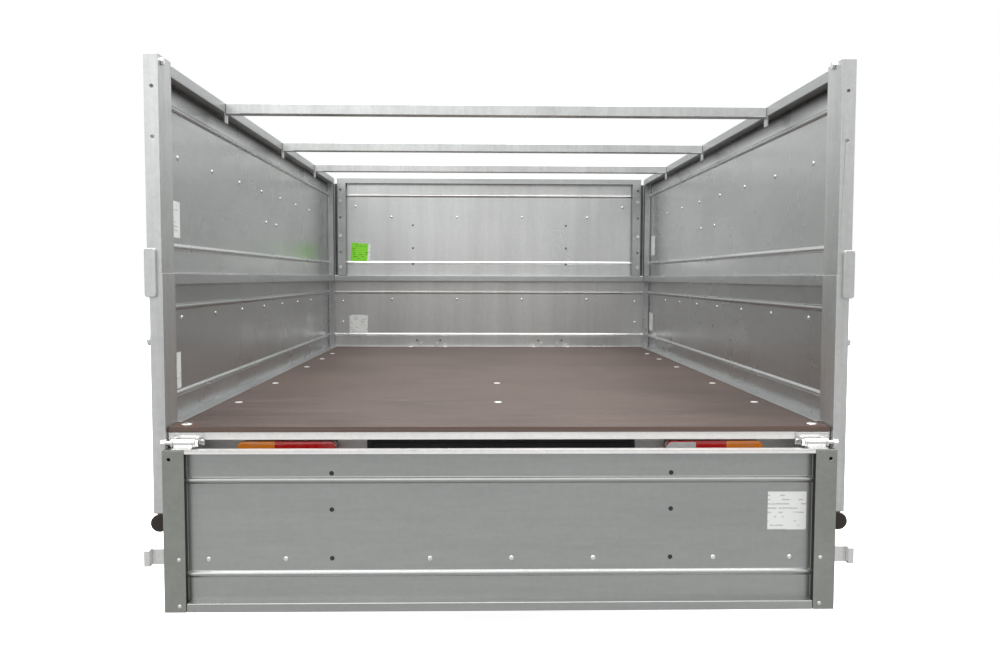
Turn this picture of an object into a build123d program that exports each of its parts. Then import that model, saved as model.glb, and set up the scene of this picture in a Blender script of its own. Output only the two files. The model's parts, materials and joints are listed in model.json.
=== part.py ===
from build123d import *
import math
import os

# ---------------------------------------------------------------------------
# A light single-axle box trailer for carrying sheep, pigs or calves: a galvanised
# sheet box with a second tier of walls, three roof bows and a drop-down tailgate.
# X is to the right, Y is forward (towards the tow bar), Z is up. The origin lies on
# the ground under the middle of the whole trailer. All sizes are in millimetres.
# ---------------------------------------------------------------------------

# Overall sizes
box_length = 2050.0        # rear post face to the inside of the front wall
inner_half = 630.0         # centre line to the inner face of a lower post
deck_height = 530.0        # ground to the top of the deck
lower_height = 289.0       # deck to the top of the lower walls
upper_height = 394.0       # height of the second tier of walls
drawbar_reach = 1000.0     # front wall to the coupling ball
tyre_radius = 272.0

# Sheet walls
sheet = 1.5                # wall sheet
lower_wall_depth = 23.0    # lower wall, rail face to the back of the sheet
upper_wall_depth = 27.0    # upper wall, the same
rail_height = 22.0         # folded top rail of a wall
rail_wall = 1.5
rib_proud = 4.5            # pressed rib, how far it stands inwards
rib_half = 5.0             # pressed rib, half its height
foot_width = 30.0          # foot flange that lies on the deck edge
skirt_drop = 30.0          # how far the lower walls reach below the deck
lower_ribs = (48.0, 222.0)     # rib heights above the foot of a lower wall
upper_ribs = (53.0, 326.0)     # rib heights above the foot of an upper wall

# Posts
post_sheet = 2.0
lower_post_face = 25.0     # width of the rear face of a lower post
upper_post_face = 27.0
post_flange = 72.0         # how far the post flanges reach forward
post_drop = 163.0          # lower post below the deck
post_rise = 7.0            # upper post above the top rail
corner_post_depth = 35.0

# Deck and chassis
deck_thickness = 10.0
deck_setback = 9.5         # rear edge of the deck behind the post faces
edge_gap = 2.0             # deck edge to the posts
rail_drop = 100.0          # height of a chassis side rail
rail_flange = 38.0
steel = 2.5                # chassis sheet
sill_face_y = 12.5         # rear face of the sill behind the post faces
sill_lip = 15.0            # height of the sill face
lamp_wall_y = 55.0         # lamp panel behind the post faces
member_height = 40.0
member_width = 60.0
member_places = (355.0, 733.0, 1184.0, 1470.0, 1697.0)

# Tailgate
gate_gap = 1.5             # each end of the tailgate to its post
gate_thickness = 22.0
gate_height = 305.0
gate_stand_off = 6.0       # hanging tailgate's outer face behind the posts
pivot_back = 10.0          # hinge axis behind the post faces
pivot_drop = 27.0          # hinge axis below the deck
pivot_to_edge = 11.0       # hinge axis to the edge of the tailgate
end_channel = 40.0
gate_ribs = (60.0, 238.0)  # from the hinged edge
hinge_x = 594.0            # middle of a hinge
knuckle_length = 36.0
knuckle_radius = 8.0
pin_radius = 4.0
running = 0.05             # radial clearance of a running fit
play = 0.4                 # side clearance between moving pieces

# Latches
catch_height = 216.0       # from the hinge axis line to the middle of a catch
catch_plate = 3.0
catch_tall = 30.0
catch_step = 14.0          # offset of the catch's tab from its foot

# Roof bows
bow_places = (449.0, 1071.0, 1608.0)
bow_height = 24.0
bow_width = 30.0
bow_wall = 1.5

# Rope hooks
hook_count = 7
hook_first = 175.0
hook_pitch = 243.0
lower_hook_height = 199.0  # above the deck
upper_hook_height = 522.0

# Axle and wheels
axle_place = 960.0         # wheel centre in front of the post faces
arm_reach = 122.0          # beam axis in front of the wheel centre
arm_rise = 44.0            # beam axis above the wheel centre
beam_size = 60.0
beam_end = 628.0
arm_thickness = 18.0
shaft_radius = 15.0
spindle_radius = 17.5
tyre_width = 155.0
tyre_middle_x = 767.5
rim_radius = 165.0
hub_face_x = 797.0
guard_gap = 43.0           # tyre to mudguard
guard_sheet = 4.0
guard_inner_x = 672.0
guard_outer_x = 862.0

# Drawbar, coupling and jockey wheel
arm_width = 40.0
arm_height = 60.0
arm_front_x = 50.0         # arm centre line at its front end
arm_wall_x = 250.0         # arm centre line under the front wall
arm_front_back = 225.0     # arm front end behind the ball
nose_size = 60.0
nose_back = 330.0          # rear end of the nose tube behind the ball
nose_front = 110.0         # front end of the nose tube behind the ball
ball_radius = 25.0
socket_gap = 0.25
coupling_wall = 4.0
jockey_back = 475.0        # jockey tube behind the ball
jockey_x = -185.0
jockey_tube = 24.5         # outer radius of the jockey's outer tube
jockey_slide = 22.1        # radius of the inner tube
jockey_wheel_radius = 100.0
jockey_wheel_width = 50.0
jockey_trail = 30.0
jockey_lift = 150.0

# Places worked out from the sizes above
front_wall_out = box_length + max(lower_wall_depth, upper_wall_depth) - 2.0
ball_place = front_wall_out + drawbar_reach
gate_bolt_head = 2.5
rear_reach = gate_stand_off + gate_thickness + gate_bolt_head
nose_reach = ball_radius + 9.0
rear_y = (rear_reach - ball_place - nose_reach) / 2
front_y = rear_y + front_wall_out
ball_y = rear_y + ball_place
deck_z = deck_height
deck_bottom = deck_z - deck_thickness
seam_z = deck_z + lower_height
wall_top_z = seam_z + upper_height
lower_outer = inner_half + lower_post_face
upper_inner = inner_half + 1.0
upper_outer = upper_inner + upper_post_face
lower_sheet_x = inner_half + lower_wall_depth      # back of the lower sheet
upper_sheet_x = upper_inner + upper_wall_depth - post_sheet
rail_bottom = deck_bottom - rail_drop
member_bottom = deck_bottom - member_height
pivot_y = rear_y - pivot_back
pivot_z = deck_z - pivot_drop
gate_outer_y = rear_y - gate_stand_off
gate_inner_y = gate_outer_y - gate_thickness
gate_top = pivot_z - pivot_to_edge
gate_half = inner_half - gate_gap
wheel_y = rear_y + axle_place
wheel_z = tyre_radius
beam_y = wheel_y + arm_reach
beam_z = wheel_z + arm_rise
arm_slope = (arm_wall_x - arm_front_x) / (drawbar_reach - arm_front_back)
jockey_y = ball_y - jockey_back

os.makedirs("parts", exist_ok=True)


def block(x_range, y_range, z_range, mode=Mode.ADD):
    """A box that spans three ranges, given in any order."""
    spans = [sorted(span) for span in (x_range, y_range, z_range)]
    middle = tuple((low + high) / 2 for low, high in spans)
    with Locations(middle):
        Box(*[high - low for low, high in spans], mode=mode)


def rod(middle, radius, length, along="X", mode=Mode.ADD):
    """A round bar about one axis, or a round hole with Mode.SUBTRACT."""
    turn = {"X": (0, 90, 0), "Y": (90, 0, 0), "Z": (0, 0, 0)}[along]
    with Locations(middle):
        Cylinder(radius, length, rotation=turn, mode=mode)


def strip(across, up, mode=Mode.ADD):
    """A rectangle in a sketch that spans two ranges."""
    across, up = sorted(across), sorted(up)
    with Locations(((across[0] + across[1]) / 2, (up[0] + up[1]) / 2)):
        Rectangle(across[1] - across[0], up[1] - up[0], mode=mode)


def pressed_rib(height, back):
    """A rib pressed inwards out of a sheet whose back face stands at 'back'."""
    face = back + sheet
    crest = rib_half * 0.4
    Polygon((back, height - rib_half), (face, height - rib_half), (face + rib_proud, height - crest),
            (face + rib_proud, height + crest), (face, height + rib_half), (back, height + rib_half),
            align=None)
    Polygon((back, height - rib_half + sheet), (back + rib_proud, height - crest + sheet / 2),
            (back + rib_proud, height + crest - sheet / 2), (back, height + rib_half - sheet),
            align=None, mode=Mode.SUBTRACT)


def folded_rail(depth, top, height):
    """The hollow rail folded along one edge of a wall: depth runs in from the back of the sheet."""
    strip((0, depth), (top - height, top))
    strip((rail_wall, depth - rail_wall), (top - height + rail_wall, top - rail_wall), Mode.SUBTRACT)


# ---------------------------------------------------------------------------
# Chassis
# ---------------------------------------------------------------------------

# Side rails: C-channels under both deck edges, open towards the middle.
for side, name in ((-1, "side_rail_left"), (1, "side_rail_right")):
    with BuildPart() as side_rail:
        with BuildSketch(Plane.XZ.offset(-(rear_y + sill_face_y + steel))):
            strip((side * inner_half, side * (inner_half - rail_flange)), (rail_bottom, deck_bottom))
            strip((side * (inner_half - steel), side * (inner_half - rail_flange - 1)),
                  (rail_bottom + steel, deck_bottom - steel), Mode.SUBTRACT)
        extrude(amount=-(front_wall_out - sill_face_y - steel - 12.0))
    side_rail.part.label = name
    export_step(side_rail.part, f"parts/{name}.step")

member_half = inner_half - rail_flange

# Rear sill: one folded sheet, with the lamp panel as its lower web.
with BuildPart() as rear_sill:
    sill_y = rear_y + sill_face_y
    panel_y = rear_y + lamp_wall_y
    block((-inner_half + 1, inner_half - 1), (sill_y, sill_y + steel), (deck_bottom - sill_lip, deck_bottom))
    block((-member_half, member_half), (sill_y + steel, panel_y + steel), (deck_bottom - steel, deck_bottom))
    block((-member_half, member_half), (sill_y + steel, panel_y + steel),
          (deck_bottom - sill_lip, deck_bottom - sill_lip + steel))
    block((-member_half, member_half), (panel_y, panel_y + steel),
          (rail_bottom, deck_bottom - sill_lip + steel))
rear_sill.part.label = "rear_sill"
export_step(rear_sill.part, "parts/rear_sill.step")

# Crossmembers: five top-hat members under the deck and one closed channel at the front.
with BuildPart() as crossmembers:
    for place in member_places:
        with BuildSketch(Plane.YZ.offset(-member_half)):
            low_y = rear_y + place - member_width / 2
            high_y = rear_y + place + member_width / 2
            strip((low_y, high_y), (member_bottom, deck_bottom))
            strip((low_y + steel, high_y - steel), (member_bottom + steel, deck_bottom), Mode.SUBTRACT)
        extrude(amount=2 * member_half)
    front_low = front_y - 52.0
    front_high = front_y - 12.0
    with BuildSketch(Plane.YZ.offset(-member_half)):
        strip((front_low, front_high), (member_bottom, deck_bottom))
        strip((front_low + steel, front_high - steel), (member_bottom + steel, deck_bottom - steel),
              Mode.SUBTRACT)
    extrude(amount=2 * member_half)
crossmembers.part.label = "crossmembers"
export_step(crossmembers.part, "parts/crossmembers.step")

# Drawbar arms: two tubes that run from the axle to the nose under the crossmembers.
arm_top = member_bottom
arm_front_y = ball_y - arm_front_back
arm_rear_y = beam_y - 40.0


def arm_x(y):
    """Centre line of the right-hand drawbar arm."""
    return arm_front_x + arm_slope * (arm_front_y - y)


arm_parts = {}
for side, name in ((-1, "drawbar_left"), (1, "drawbar_right")):
    with BuildPart() as drawbar_arm:
        for half, height, mode in ((arm_width / 2, arm_height / 2, Mode.ADD),
                                   (arm_width / 2 - 3, arm_height / 2 - 3, Mode.SUBTRACT)):
            with BuildSketch(Plane.XY.offset(arm_top - arm_height / 2 - height)):
                wide = half * math.sqrt(1 + arm_slope ** 2)
                Polygon((side * (arm_x(arm_rear_y) - wide), arm_rear_y),
                        (side * (arm_x(arm_rear_y) + wide), arm_rear_y),
                        (side * (arm_x(arm_front_y) + wide), arm_front_y),
                        (side * (arm_x(arm_front_y) - wide), arm_front_y), align=None)
            extrude(amount=2 * height, mode=mode)
        # the inner wall is cut back along the nose tube
        block((-nose_size / 2, nose_size / 2), (ball_y - nose_back, ball_y), (0, deck_z), Mode.SUBTRACT)
    arm_parts[name] = drawbar_arm.part
    drawbar_arm.part.label = name
    export_step(drawbar_arm.part, f"parts/{name}.step")

# Drawbar nose: the square tube between the arms that carries the coupling.
nose_low = arm_top - nose_size
with BuildPart() as drawbar_nose:
    block((-nose_size / 2, nose_size / 2), (ball_y - nose_back, ball_y - nose_front), (nose_low, arm_top))
    block((-nose_size / 2 + 4, nose_size / 2 - 4), (ball_y - nose_back, ball_y - nose_front),
          (nose_low + 4, arm_top - 4), Mode.SUBTRACT)
drawbar_nose.part.label = "drawbar_nose"
export_step(drawbar_nose.part, "parts/drawbar_nose.step")

# Drawbar brackets: saddles that hold the arms up against the front crossmember.
saddle_half = 32.0
saddle_reach = 18.0
saddle_plate = 5.0
saddle_bolt_radius = 7.5
with BuildPart() as drawbar_brackets:
    saddle_y = (front_low + front_high) / 2
    for side in (-1, 1):
        middle_x = side * arm_x(saddle_y)
        block((middle_x - saddle_half, middle_x + saddle_half),
              (saddle_y - saddle_reach, saddle_y + saddle_reach),
              (arm_top - arm_height - saddle_plate, arm_top))
        for edge in (-1, 1):
            block((middle_x + edge * (saddle_half - 4), middle_x + edge * (saddle_half + 14)),
                  (saddle_y - saddle_reach, saddle_y + saddle_reach), (arm_top - saddle_plate, arm_top))
            rod((middle_x + edge * (saddle_half + 7), saddle_y, arm_top - saddle_plate - 3),
                saddle_bolt_radius, 6, "Z")
    for side in (-1, 1):
        wide = arm_width / 2 * math.sqrt(1 + arm_slope ** 2)
        with BuildSketch(Plane.XY.offset(arm_top - arm_height)):
            Polygon((side * (arm_x(arm_rear_y) - wide), arm_rear_y),
                    (side * (arm_x(arm_rear_y) + wide), arm_rear_y),
                    (side * (arm_x(arm_front_y) + wide), arm_front_y),
                    (side * (arm_x(arm_front_y) - wide), arm_front_y), align=None)
        extrude(amount=arm_height, mode=Mode.SUBTRACT)
drawbar_brackets.part.label = "drawbar_brackets"
export_step(drawbar_brackets.part, "parts/drawbar_brackets.step")

# Axle beam: a square tube whose plugged ends carry the swing-arm shafts.
beam_wall = 4.0
beam_plug = 32.0
with BuildPart() as axle_beam:
    block((-beam_end, beam_end), (beam_y - beam_size / 2, beam_y + beam_size / 2),
          (beam_z - beam_size / 2, beam_z + beam_size / 2))
    beam_hollow = beam_size / 2 - beam_wall
    block((-beam_end + beam_plug, beam_end - beam_plug), (beam_y - beam_hollow, beam_y + beam_hollow),
          (beam_z - beam_hollow, beam_z + beam_hollow), Mode.SUBTRACT)
    rod((0, beam_y, beam_z), shaft_radius + running, 2 * beam_end, "X", Mode.SUBTRACT)
axle_beam.part.label = "axle_beam"
export_step(axle_beam.part, "parts/axle_beam.step")

# Axle brackets: folded stands between the beam and the side rails.
stand_half = 55.0
stand_wall = 4.0
stand_bolt_radius = 8.0
with BuildPart() as axle_brackets:
    beam_top = beam_z + beam_size / 2
    stand_low = inner_half - rail_flange + 2
    stand_high = inner_half - 2
    for side in (-1, 1):
        block((side * stand_low, side * stand_high), (beam_y - stand_half, beam_y + stand_half),
              (beam_top, rail_bottom))
        block((side * (stand_low - 1), side * (stand_high - stand_wall)),
              (beam_y - stand_half + stand_wall, beam_y + stand_half - stand_wall),
              (beam_top + stand_wall, rail_bottom - stand_wall), Mode.SUBTRACT)
        for edge in (-1, 1):
            rod((side * (inner_half - 20), beam_y + edge * 38, beam_top + 2 * stand_wall),
                stand_bolt_radius, 8, "Z")
axle_brackets.part.label = "axle_brackets"
export_step(axle_brackets.part, "parts/axle_brackets.step")

# ---------------------------------------------------------------------------
# Swing arms, hubs, rims and tyres
# ---------------------------------------------------------------------------
arm_inner_x = beam_end + 6.0
arm_outer_x = arm_inner_x + arm_thickness
arm_boss_radius = 28.0
spindle_boss_radius = 30.0
shaft_grip = 10.0
barrel_radius = 38.0
hub_flange_radius = 66.0
hub_flange = 10.0
cap_radius = 27.0
cap_length = 24.0
bolt_circle = 50.0
disc = 4.0
bolt_shank = 6.0
bolt_head_radius = 9.5
bolt_head = 14.0
vent_circle = 112.0
vent_radius = 8.0
groove_pitch = 32.0
groove_half = 4.0
bolt_places = [(bolt_circle * math.cos(math.radians(45 + 90 * step)),
                bolt_circle * math.sin(math.radians(45 + 90 * step))) for step in range(4)]
vent_places = [(vent_circle * math.cos(math.radians(30 * step)),
                vent_circle * math.sin(math.radians(30 * step))) for step in range(12)]

for side, word in ((-1, "left"), (1, "right")):
    # Swing arm: rubber-sprung trailing arm with its shaft and its wheel spindle.
    with BuildPart() as swing_arm:
        with BuildSketch(Plane.YZ.offset(side * arm_inner_x)):
            with Locations((beam_y, beam_z)):
                Circle(arm_boss_radius)
            with Locations((wheel_y, wheel_z)):
                Circle(spindle_boss_radius)
            make_hull()
        extrude(amount=side * arm_thickness)
        rod((side * (beam_end - shaft_grip), beam_y, beam_z), shaft_radius,
            2 * (arm_inner_x - beam_end + shaft_grip) + 2)
        spindle_end = hub_face_x - 6.0
        rod((side * (arm_outer_x - 2 + spindle_end) / 2, wheel_y, wheel_z), spindle_radius,
            spindle_end - arm_outer_x + 2)
    swing_arm.part.label = f"swing_arm_{word}"
    export_step(swing_arm.part, f"parts/swing_arm_{word}.step")

    # Hub: barrel, flange, dust cap and the four wheel bolts.
    hub_inner_x = arm_outer_x + 14.0
    with BuildPart() as wheel_hub:
        rod((side * (hub_inner_x + hub_face_x) / 2, wheel_y, wheel_z), barrel_radius,
            hub_face_x - hub_inner_x)
        rod((side * (hub_face_x - hub_flange / 2), wheel_y, wheel_z), hub_flange_radius, hub_flange)
        rod((side * (hub_face_x + cap_length / 2), wheel_y, wheel_z), cap_radius, cap_length)
        rod((side * (hub_inner_x + hub_face_x - 4) / 2, wheel_y, wheel_z), spindle_radius + running,
            hub_face_x - 4 - hub_inner_x, mode=Mode.SUBTRACT)
        for along, up in bolt_places:
            rod((side * (hub_face_x + disc + bolt_head / 2), wheel_y + along, wheel_z + up), bolt_head_radius,
                bolt_head)
            rod((side * (hub_face_x + disc / 2), wheel_y + along, wheel_z + up), bolt_shank, disc + 2)
    wheel_hub.part.label = f"wheel_hub_{word}"
    export_step(wheel_hub.part, f"parts/wheel_hub_{word}.step")

    # Rim: a dished disc welded into a rolled well.
    tyre_low = tyre_middle_x - tyre_width / 2
    tyre_high = tyre_middle_x + tyre_width / 2
    with BuildPart() as wheel_rim:
        with BuildSketch(Plane.XZ):
            bead = rim_radius + 6
            Polygon((tyre_low + 10, bead), (tyre_low + 10, rim_radius - 4),
                    (tyre_middle_x - 28, rim_radius - 6),
                    (tyre_middle_x - 20, rim_radius - 24), (tyre_middle_x + 20, rim_radius - 24),
                    (tyre_middle_x + 28, rim_radius - 6), (tyre_high - 10, rim_radius - 4),
                    (tyre_high - 10, bead), (tyre_high - 14, bead), (tyre_high - 14, rim_radius),
                    (tyre_middle_x + 31, rim_radius - 2), (tyre_middle_x + 23, rim_radius - 20),
                    (tyre_middle_x - 23, rim_radius - 20), (tyre_middle_x - 31, rim_radius - 2),
                    (tyre_low + 14, rim_radius), (tyre_low + 14, bead), align=None)
            Polygon((hub_face_x, 30), (hub_face_x + 4, 30), (hub_face_x + 4, 74), (hub_face_x + 14, 100),
                    (hub_face_x + 4, 128), (hub_face_x - 12, rim_radius - 23.5),
                    (hub_face_x - 18, rim_radius - 23.5), (hub_face_x - 1, 124),
                    (hub_face_x + 9, 100), (hub_face_x, 78), align=None)
        revolve(axis=Axis.X)
        for along, up in bolt_places:
            rod((hub_face_x + disc / 2, along, up), bolt_shank + 0.3, 30, "X", Mode.SUBTRACT)
        for along, up in vent_places:
            rod((hub_face_x + 6, along, up), vent_radius, 40, "X", Mode.SUBTRACT)
    placed_rim = wheel_rim.part if side > 0 else mirror(wheel_rim.part, about=Plane.YZ)
    placed_rim = Pos(0, wheel_y, wheel_z) * placed_rim
    placed_rim.label = f"wheel_rim_{word}"
    export_step(placed_rim, f"parts/wheel_rim_{word}.step")

    # Tyre: rounded section, seated on the rim's bead seats, with three tread grooves.
    with BuildPart() as tyre:
        with BuildSketch(Plane.XZ):
            with BuildLine():
                bead_top = rim_radius + 7.5
                shoulder = tyre_radius - 8.0
                widest = rim_radius + 50.0
                Polyline((tyre_low + 14.5, bead_top), (tyre_low + 14.5, rim_radius + 0.3),
                         (tyre_high - 14.5, rim_radius + 0.3), (tyre_high - 14.5, bead_top))
                Spline((tyre_high - 14.5, bead_top), (tyre_high, widest),
                       (tyre_high - 14, shoulder), tangents=((1, 0.6), (-1, 1)))
                ThreePointArc((tyre_high - 14, shoulder), (tyre_middle_x, tyre_radius),
                              (tyre_low + 14, shoulder))
                Spline((tyre_low + 14, shoulder), (tyre_low, widest),
                       (tyre_low + 14.5, bead_top), tangents=((-1, -1), (1, -0.6)))
            make_face()
            with Locations((tyre_middle_x, widest)):
                Ellipse(58, 42, mode=Mode.SUBTRACT)
            for offset_x in (-groove_pitch, 0, groove_pitch):
                strip((tyre_middle_x + offset_x - groove_half, tyre_middle_x + offset_x + groove_half),
                      (shoulder, tyre_radius + 2), Mode.SUBTRACT)
        revolve(axis=Axis.X)
    placed_tyre = tyre.part if side > 0 else mirror(tyre.part, about=Plane.YZ)
    placed_tyre = Pos(0, wheel_y, wheel_z) * placed_tyre
    placed_tyre.label = f"tyre_{word}"
    export_step(placed_tyre, f"parts/tyre_{word}.step")

    # Mudguard: a plastic arch with a rolled outer lip.
    guard_radius = tyre_radius + guard_gap
    with BuildPart() as mudguard:
        with BuildSketch(Plane.YZ.offset(side * guard_inner_x)):
            with Locations((wheel_y, wheel_z)):
                Circle(guard_radius + guard_sheet)
                Circle(guard_radius, mode=Mode.SUBTRACT)
            strip((wheel_y - 400, wheel_y + 400), (wheel_z - 400, wheel_z + 70), Mode.SUBTRACT)
        extrude(amount=side * (guard_outer_x - guard_inner_x))
        with BuildSketch(Plane.YZ.offset(side * (guard_outer_x - 3))):
            with Locations((wheel_y, wheel_z)):
                Circle(guard_radius + guard_sheet)
                Circle(guard_radius - 12, mode=Mode.SUBTRACT)
            strip((wheel_y - 400, wheel_y + 400), (wheel_z - 400, wheel_z + 70), Mode.SUBTRACT)
        extrude(amount=side * 3)
    mudguard.part.label = f"mudguard_{word}"
    export_step(mudguard.part, f"parts/mudguard_{word}.step")

# Mudguard brackets: square bars from the side rails, seated on the arch.
with BuildPart() as mudguard_brackets:
    bracket_low = rail_bottom + 20.0
    guard_out = guard_radius + guard_sheet
    seat = math.sqrt(guard_out ** 2 - (bracket_low - wheel_z) ** 2)
    for side in (-1, 1):
        for end in (-1, 1):
            block((side * inner_half, side * (guard_outer_x - 12)),
                  (wheel_y + end * seat, wheel_y + end * (seat + 25)), (bracket_low, bracket_low + 25))
            block((side * (inner_half + 2), side * (guard_outer_x - 14)),
                  (wheel_y + end * (seat + 2), wheel_y + end * (seat + 23)),
                  (bracket_low + 2, bracket_low + 23), Mode.SUBTRACT)
mudguard_brackets.part.label = "mudguard_brackets"
export_step(mudguard_brackets.part, "parts/mudguard_brackets.step")

# ---------------------------------------------------------------------------
# Deck
# ---------------------------------------------------------------------------
deck_rear = rear_y + deck_setback
deck_front = front_y - sheet - 1.0
deck_half = lower_sheet_x - sheet - 1.5
with BuildPart() as deck:
    block((-deck_half, deck_half), (deck_rear, deck_front), (deck_bottom, deck_z))
    for side in (-1, 1):
        block((side * (inner_half - edge_gap), side * (deck_half + 1)),
              (deck_rear - 1, rear_y + post_flange + edge_gap), (deck_bottom - 1, deck_z + 1), Mode.SUBTRACT)
        block((side * (inner_half - edge_gap), side * (deck_half + 1)),
              (front_y - corner_post_depth - edge_gap, deck_front + 1), (deck_bottom - 1, deck_z + 1),
              Mode.SUBTRACT)
deck.part.label = "deck"
export_step(deck.part, "parts/deck.step")

# Deck fasteners: flat heads over the crossmembers, round heads at the rear and front corners.
screw_x = 585.0
screw_radius_flat = 7.0
screw_rise = 1.5
coach_rise = 3.0
rear_bolt_x = 601.0
rear_bolt_inset = 34.0
rear_bolt_radius = 10.0
front_bolt_x = (-320.0, -181.0, 181.0, 320.0)
front_bolt_inset = 50.0
front_bolt_radius = 9.0
with BuildPart() as deck_bolts:
    for place in member_places:
        for x in (-screw_x, screw_x):
            rod((x, rear_y + place, deck_z + screw_rise / 2), screw_radius_flat, screw_rise, "Z")
    for place in member_places[:2]:
        rod((0, rear_y + place, deck_z + screw_rise / 2), screw_radius_flat, screw_rise, "Z")
    for x in (-rear_bolt_x, rear_bolt_x):
        rod((x, rear_y + rear_bolt_inset, deck_z + coach_rise / 2), rear_bolt_radius, coach_rise, "Z")
    for x in front_bolt_x:
        rod((x, front_y - front_bolt_inset, deck_z + coach_rise / 2), front_bolt_radius, coach_rise, "Z")
deck_bolts.part.label = "deck_bolts"
export_step(deck_bolts.part, "parts/deck_bolts.step")

# ---------------------------------------------------------------------------
# Walls
# ---------------------------------------------------------------------------
wall_rear = rear_y + post_sheet
corner_rear = front_y - corner_post_depth


def side_plane(side, outer_x, z):
    """Sketch plane for a side wall: x runs in from the sheet's back, y runs up."""
    if side < 0:
        return Plane(origin=(-outer_x, 0, z), x_dir=(1, 0, 0), z_dir=(0, -1, 0))
    return Plane(origin=(outer_x, 0, z), x_dir=(-1, 0, 0), z_dir=(0, 1, 0))


def wall_start(side, low, high):
    """Sketch-plane offset from which a wall profile runs forward over the range low to high."""
    return -high if side < 0 else low


def lower_sheet_profile():
    """Cross-section of a lower wall's ribbed sheet, with the skirt below the deck."""
    strip((0, sheet), (-skirt_drop, lower_height - rail_height / 2))
    for height in lower_ribs:
        pressed_rib(height, 0)


def upper_sheet_profile():
    """Cross-section of an upper wall's ribbed sheet."""
    strip((0, sheet), (0, upper_height - rail_height / 2))
    for height in upper_ribs:
        pressed_rib(height, 0)


sheet_length = front_y - wall_rear
fold_length = corner_rear - (rear_y + post_flange)

# Lower side walls: sheet with two ribs, a folded top rail, a foot flange and a skirt.
for side, name in ((-1, "lower_wall_left"), (1, "lower_wall_right")):
    wall_plane = side_plane(side, lower_sheet_x, deck_z)
    with BuildPart() as lower_wall:
        with BuildSketch(wall_plane.offset(wall_start(side, wall_rear, front_y))):
            lower_sheet_profile()
        extrude(amount=sheet_length)
        with BuildSketch(wall_plane.offset(wall_start(side, rear_y + post_flange, corner_rear))):
            folded_rail(lower_wall_depth, lower_height, rail_height)
            strip((0, foot_width + sheet), (0, sheet))
            strip((0, lower_wall_depth), (-skirt_drop, -skirt_drop + sheet))
        extrude(amount=fold_length)
    lower_wall.part.label = name
    export_step(lower_wall.part, f"parts/{name}.step")

# Upper side walls: the same idea, standing on the lower rails.
for side, name in ((-1, "upper_wall_left"), (1, "upper_wall_right")):
    wall_plane = side_plane(side, upper_sheet_x, seam_z)
    with BuildPart() as upper_wall:
        with BuildSketch(wall_plane.offset(wall_start(side, wall_rear, front_y))):
            upper_sheet_profile()
        extrude(amount=sheet_length)
        with BuildSketch(wall_plane.offset(wall_start(side, rear_y + post_flange, corner_rear))):
            folded_rail(upper_sheet_x - inner_half, upper_height, rail_height)
            strip((0, upper_wall_depth - 4), (0, sheet))
        extrude(amount=fold_length)
    upper_wall.part.label = name
    export_step(upper_wall.part, f"parts/{name}.step")

# Front walls: one panel for each tier, between the side walls.
front_half = inner_half
upper_front_half = inner_half - 14.0
front_plane_low = Plane(origin=(front_half, front_y, deck_z), x_dir=(0, -1, 0), z_dir=(-1, 0, 0))
front_plane_high = Plane(origin=(upper_front_half, front_y, seam_z), x_dir=(0, -1, 0), z_dir=(-1, 0, 0))
front_depth = front_wall_out - box_length

with BuildPart() as lower_wall_front:
    with BuildSketch(front_plane_low):
        strip((0, sheet), (-skirt_drop, lower_height - rail_height / 2))
        for height in lower_ribs:
            pressed_rib(height, 0)
        folded_rail(front_depth, lower_height, rail_height)
    extrude(amount=2 * front_half)
    block((-front_half + foot_width, front_half - foot_width), (front_y - foot_width, front_y - sheet / 2),
          (deck_z, deck_z + sheet))
    for x in (-arm_wall_x - 48, -arm_wall_x + 48, arm_wall_x - 48, arm_wall_x + 48):
        rod((x, front_y, deck_z + 24), 5, 20, "Y", Mode.SUBTRACT)
lower_wall_front.part.label = "lower_wall_front"
export_step(lower_wall_front.part, "parts/lower_wall_front.step")

with BuildPart() as upper_wall_front:
    with BuildSketch(front_plane_high):
        strip((0, sheet), (0, upper_height - rail_height / 2))
        for height in upper_ribs:
            pressed_rib(height, 0)
        folded_rail(front_depth, upper_height, rail_height)
        strip((0, front_depth), (0, sheet))
    extrude(amount=2 * upper_front_half)
    for side in (-1, 1):
        post_x = side * upper_front_half
        block((post_x, post_x - side * 34), (front_y - front_depth, front_y - front_depth + post_sheet),
              (seam_z, wall_top_z - rail_height + 1))
        block((post_x, post_x - side * post_sheet), (front_y - front_depth, front_y),
              (seam_z, wall_top_z - rail_height + 1))
        for height in (60.0, upper_height - 60.0):
            rod((post_x + side * 7.5, front_y - 12, seam_z + height), 5, 15)
upper_wall_front.part.label = "upper_wall_front"
export_step(upper_wall_front.part, "parts/upper_wall_front.step")

# ---------------------------------------------------------------------------
# Posts
# ---------------------------------------------------------------------------
for side, name in ((-1, "lower_post_left"), (1, "lower_post_right")):
    with BuildPart() as lower_post:
        bottom = deck_z - post_drop
        block((side * inner_half, side * lower_outer), (rear_y, rear_y + post_sheet), (bottom, seam_z))
        block((side * inner_half, side * (inner_half + post_sheet)), (rear_y, rear_y + post_flange),
              (bottom, seam_z))
        block((side * (lower_outer - post_sheet), side * lower_outer), (rear_y, rear_y + post_flange),
              (deck_z - skirt_drop, seam_z))
        # the tab that carries the rubber buffer
        block((side * (inner_half + post_sheet), side * (inner_half + 19)),
              (rear_y + post_sheet, rear_y + post_sheet + 4), (bottom - 28, bottom + 60))
    lower_post.part.label = name
    export_step(lower_post.part, f"parts/{name}.step")

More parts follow.
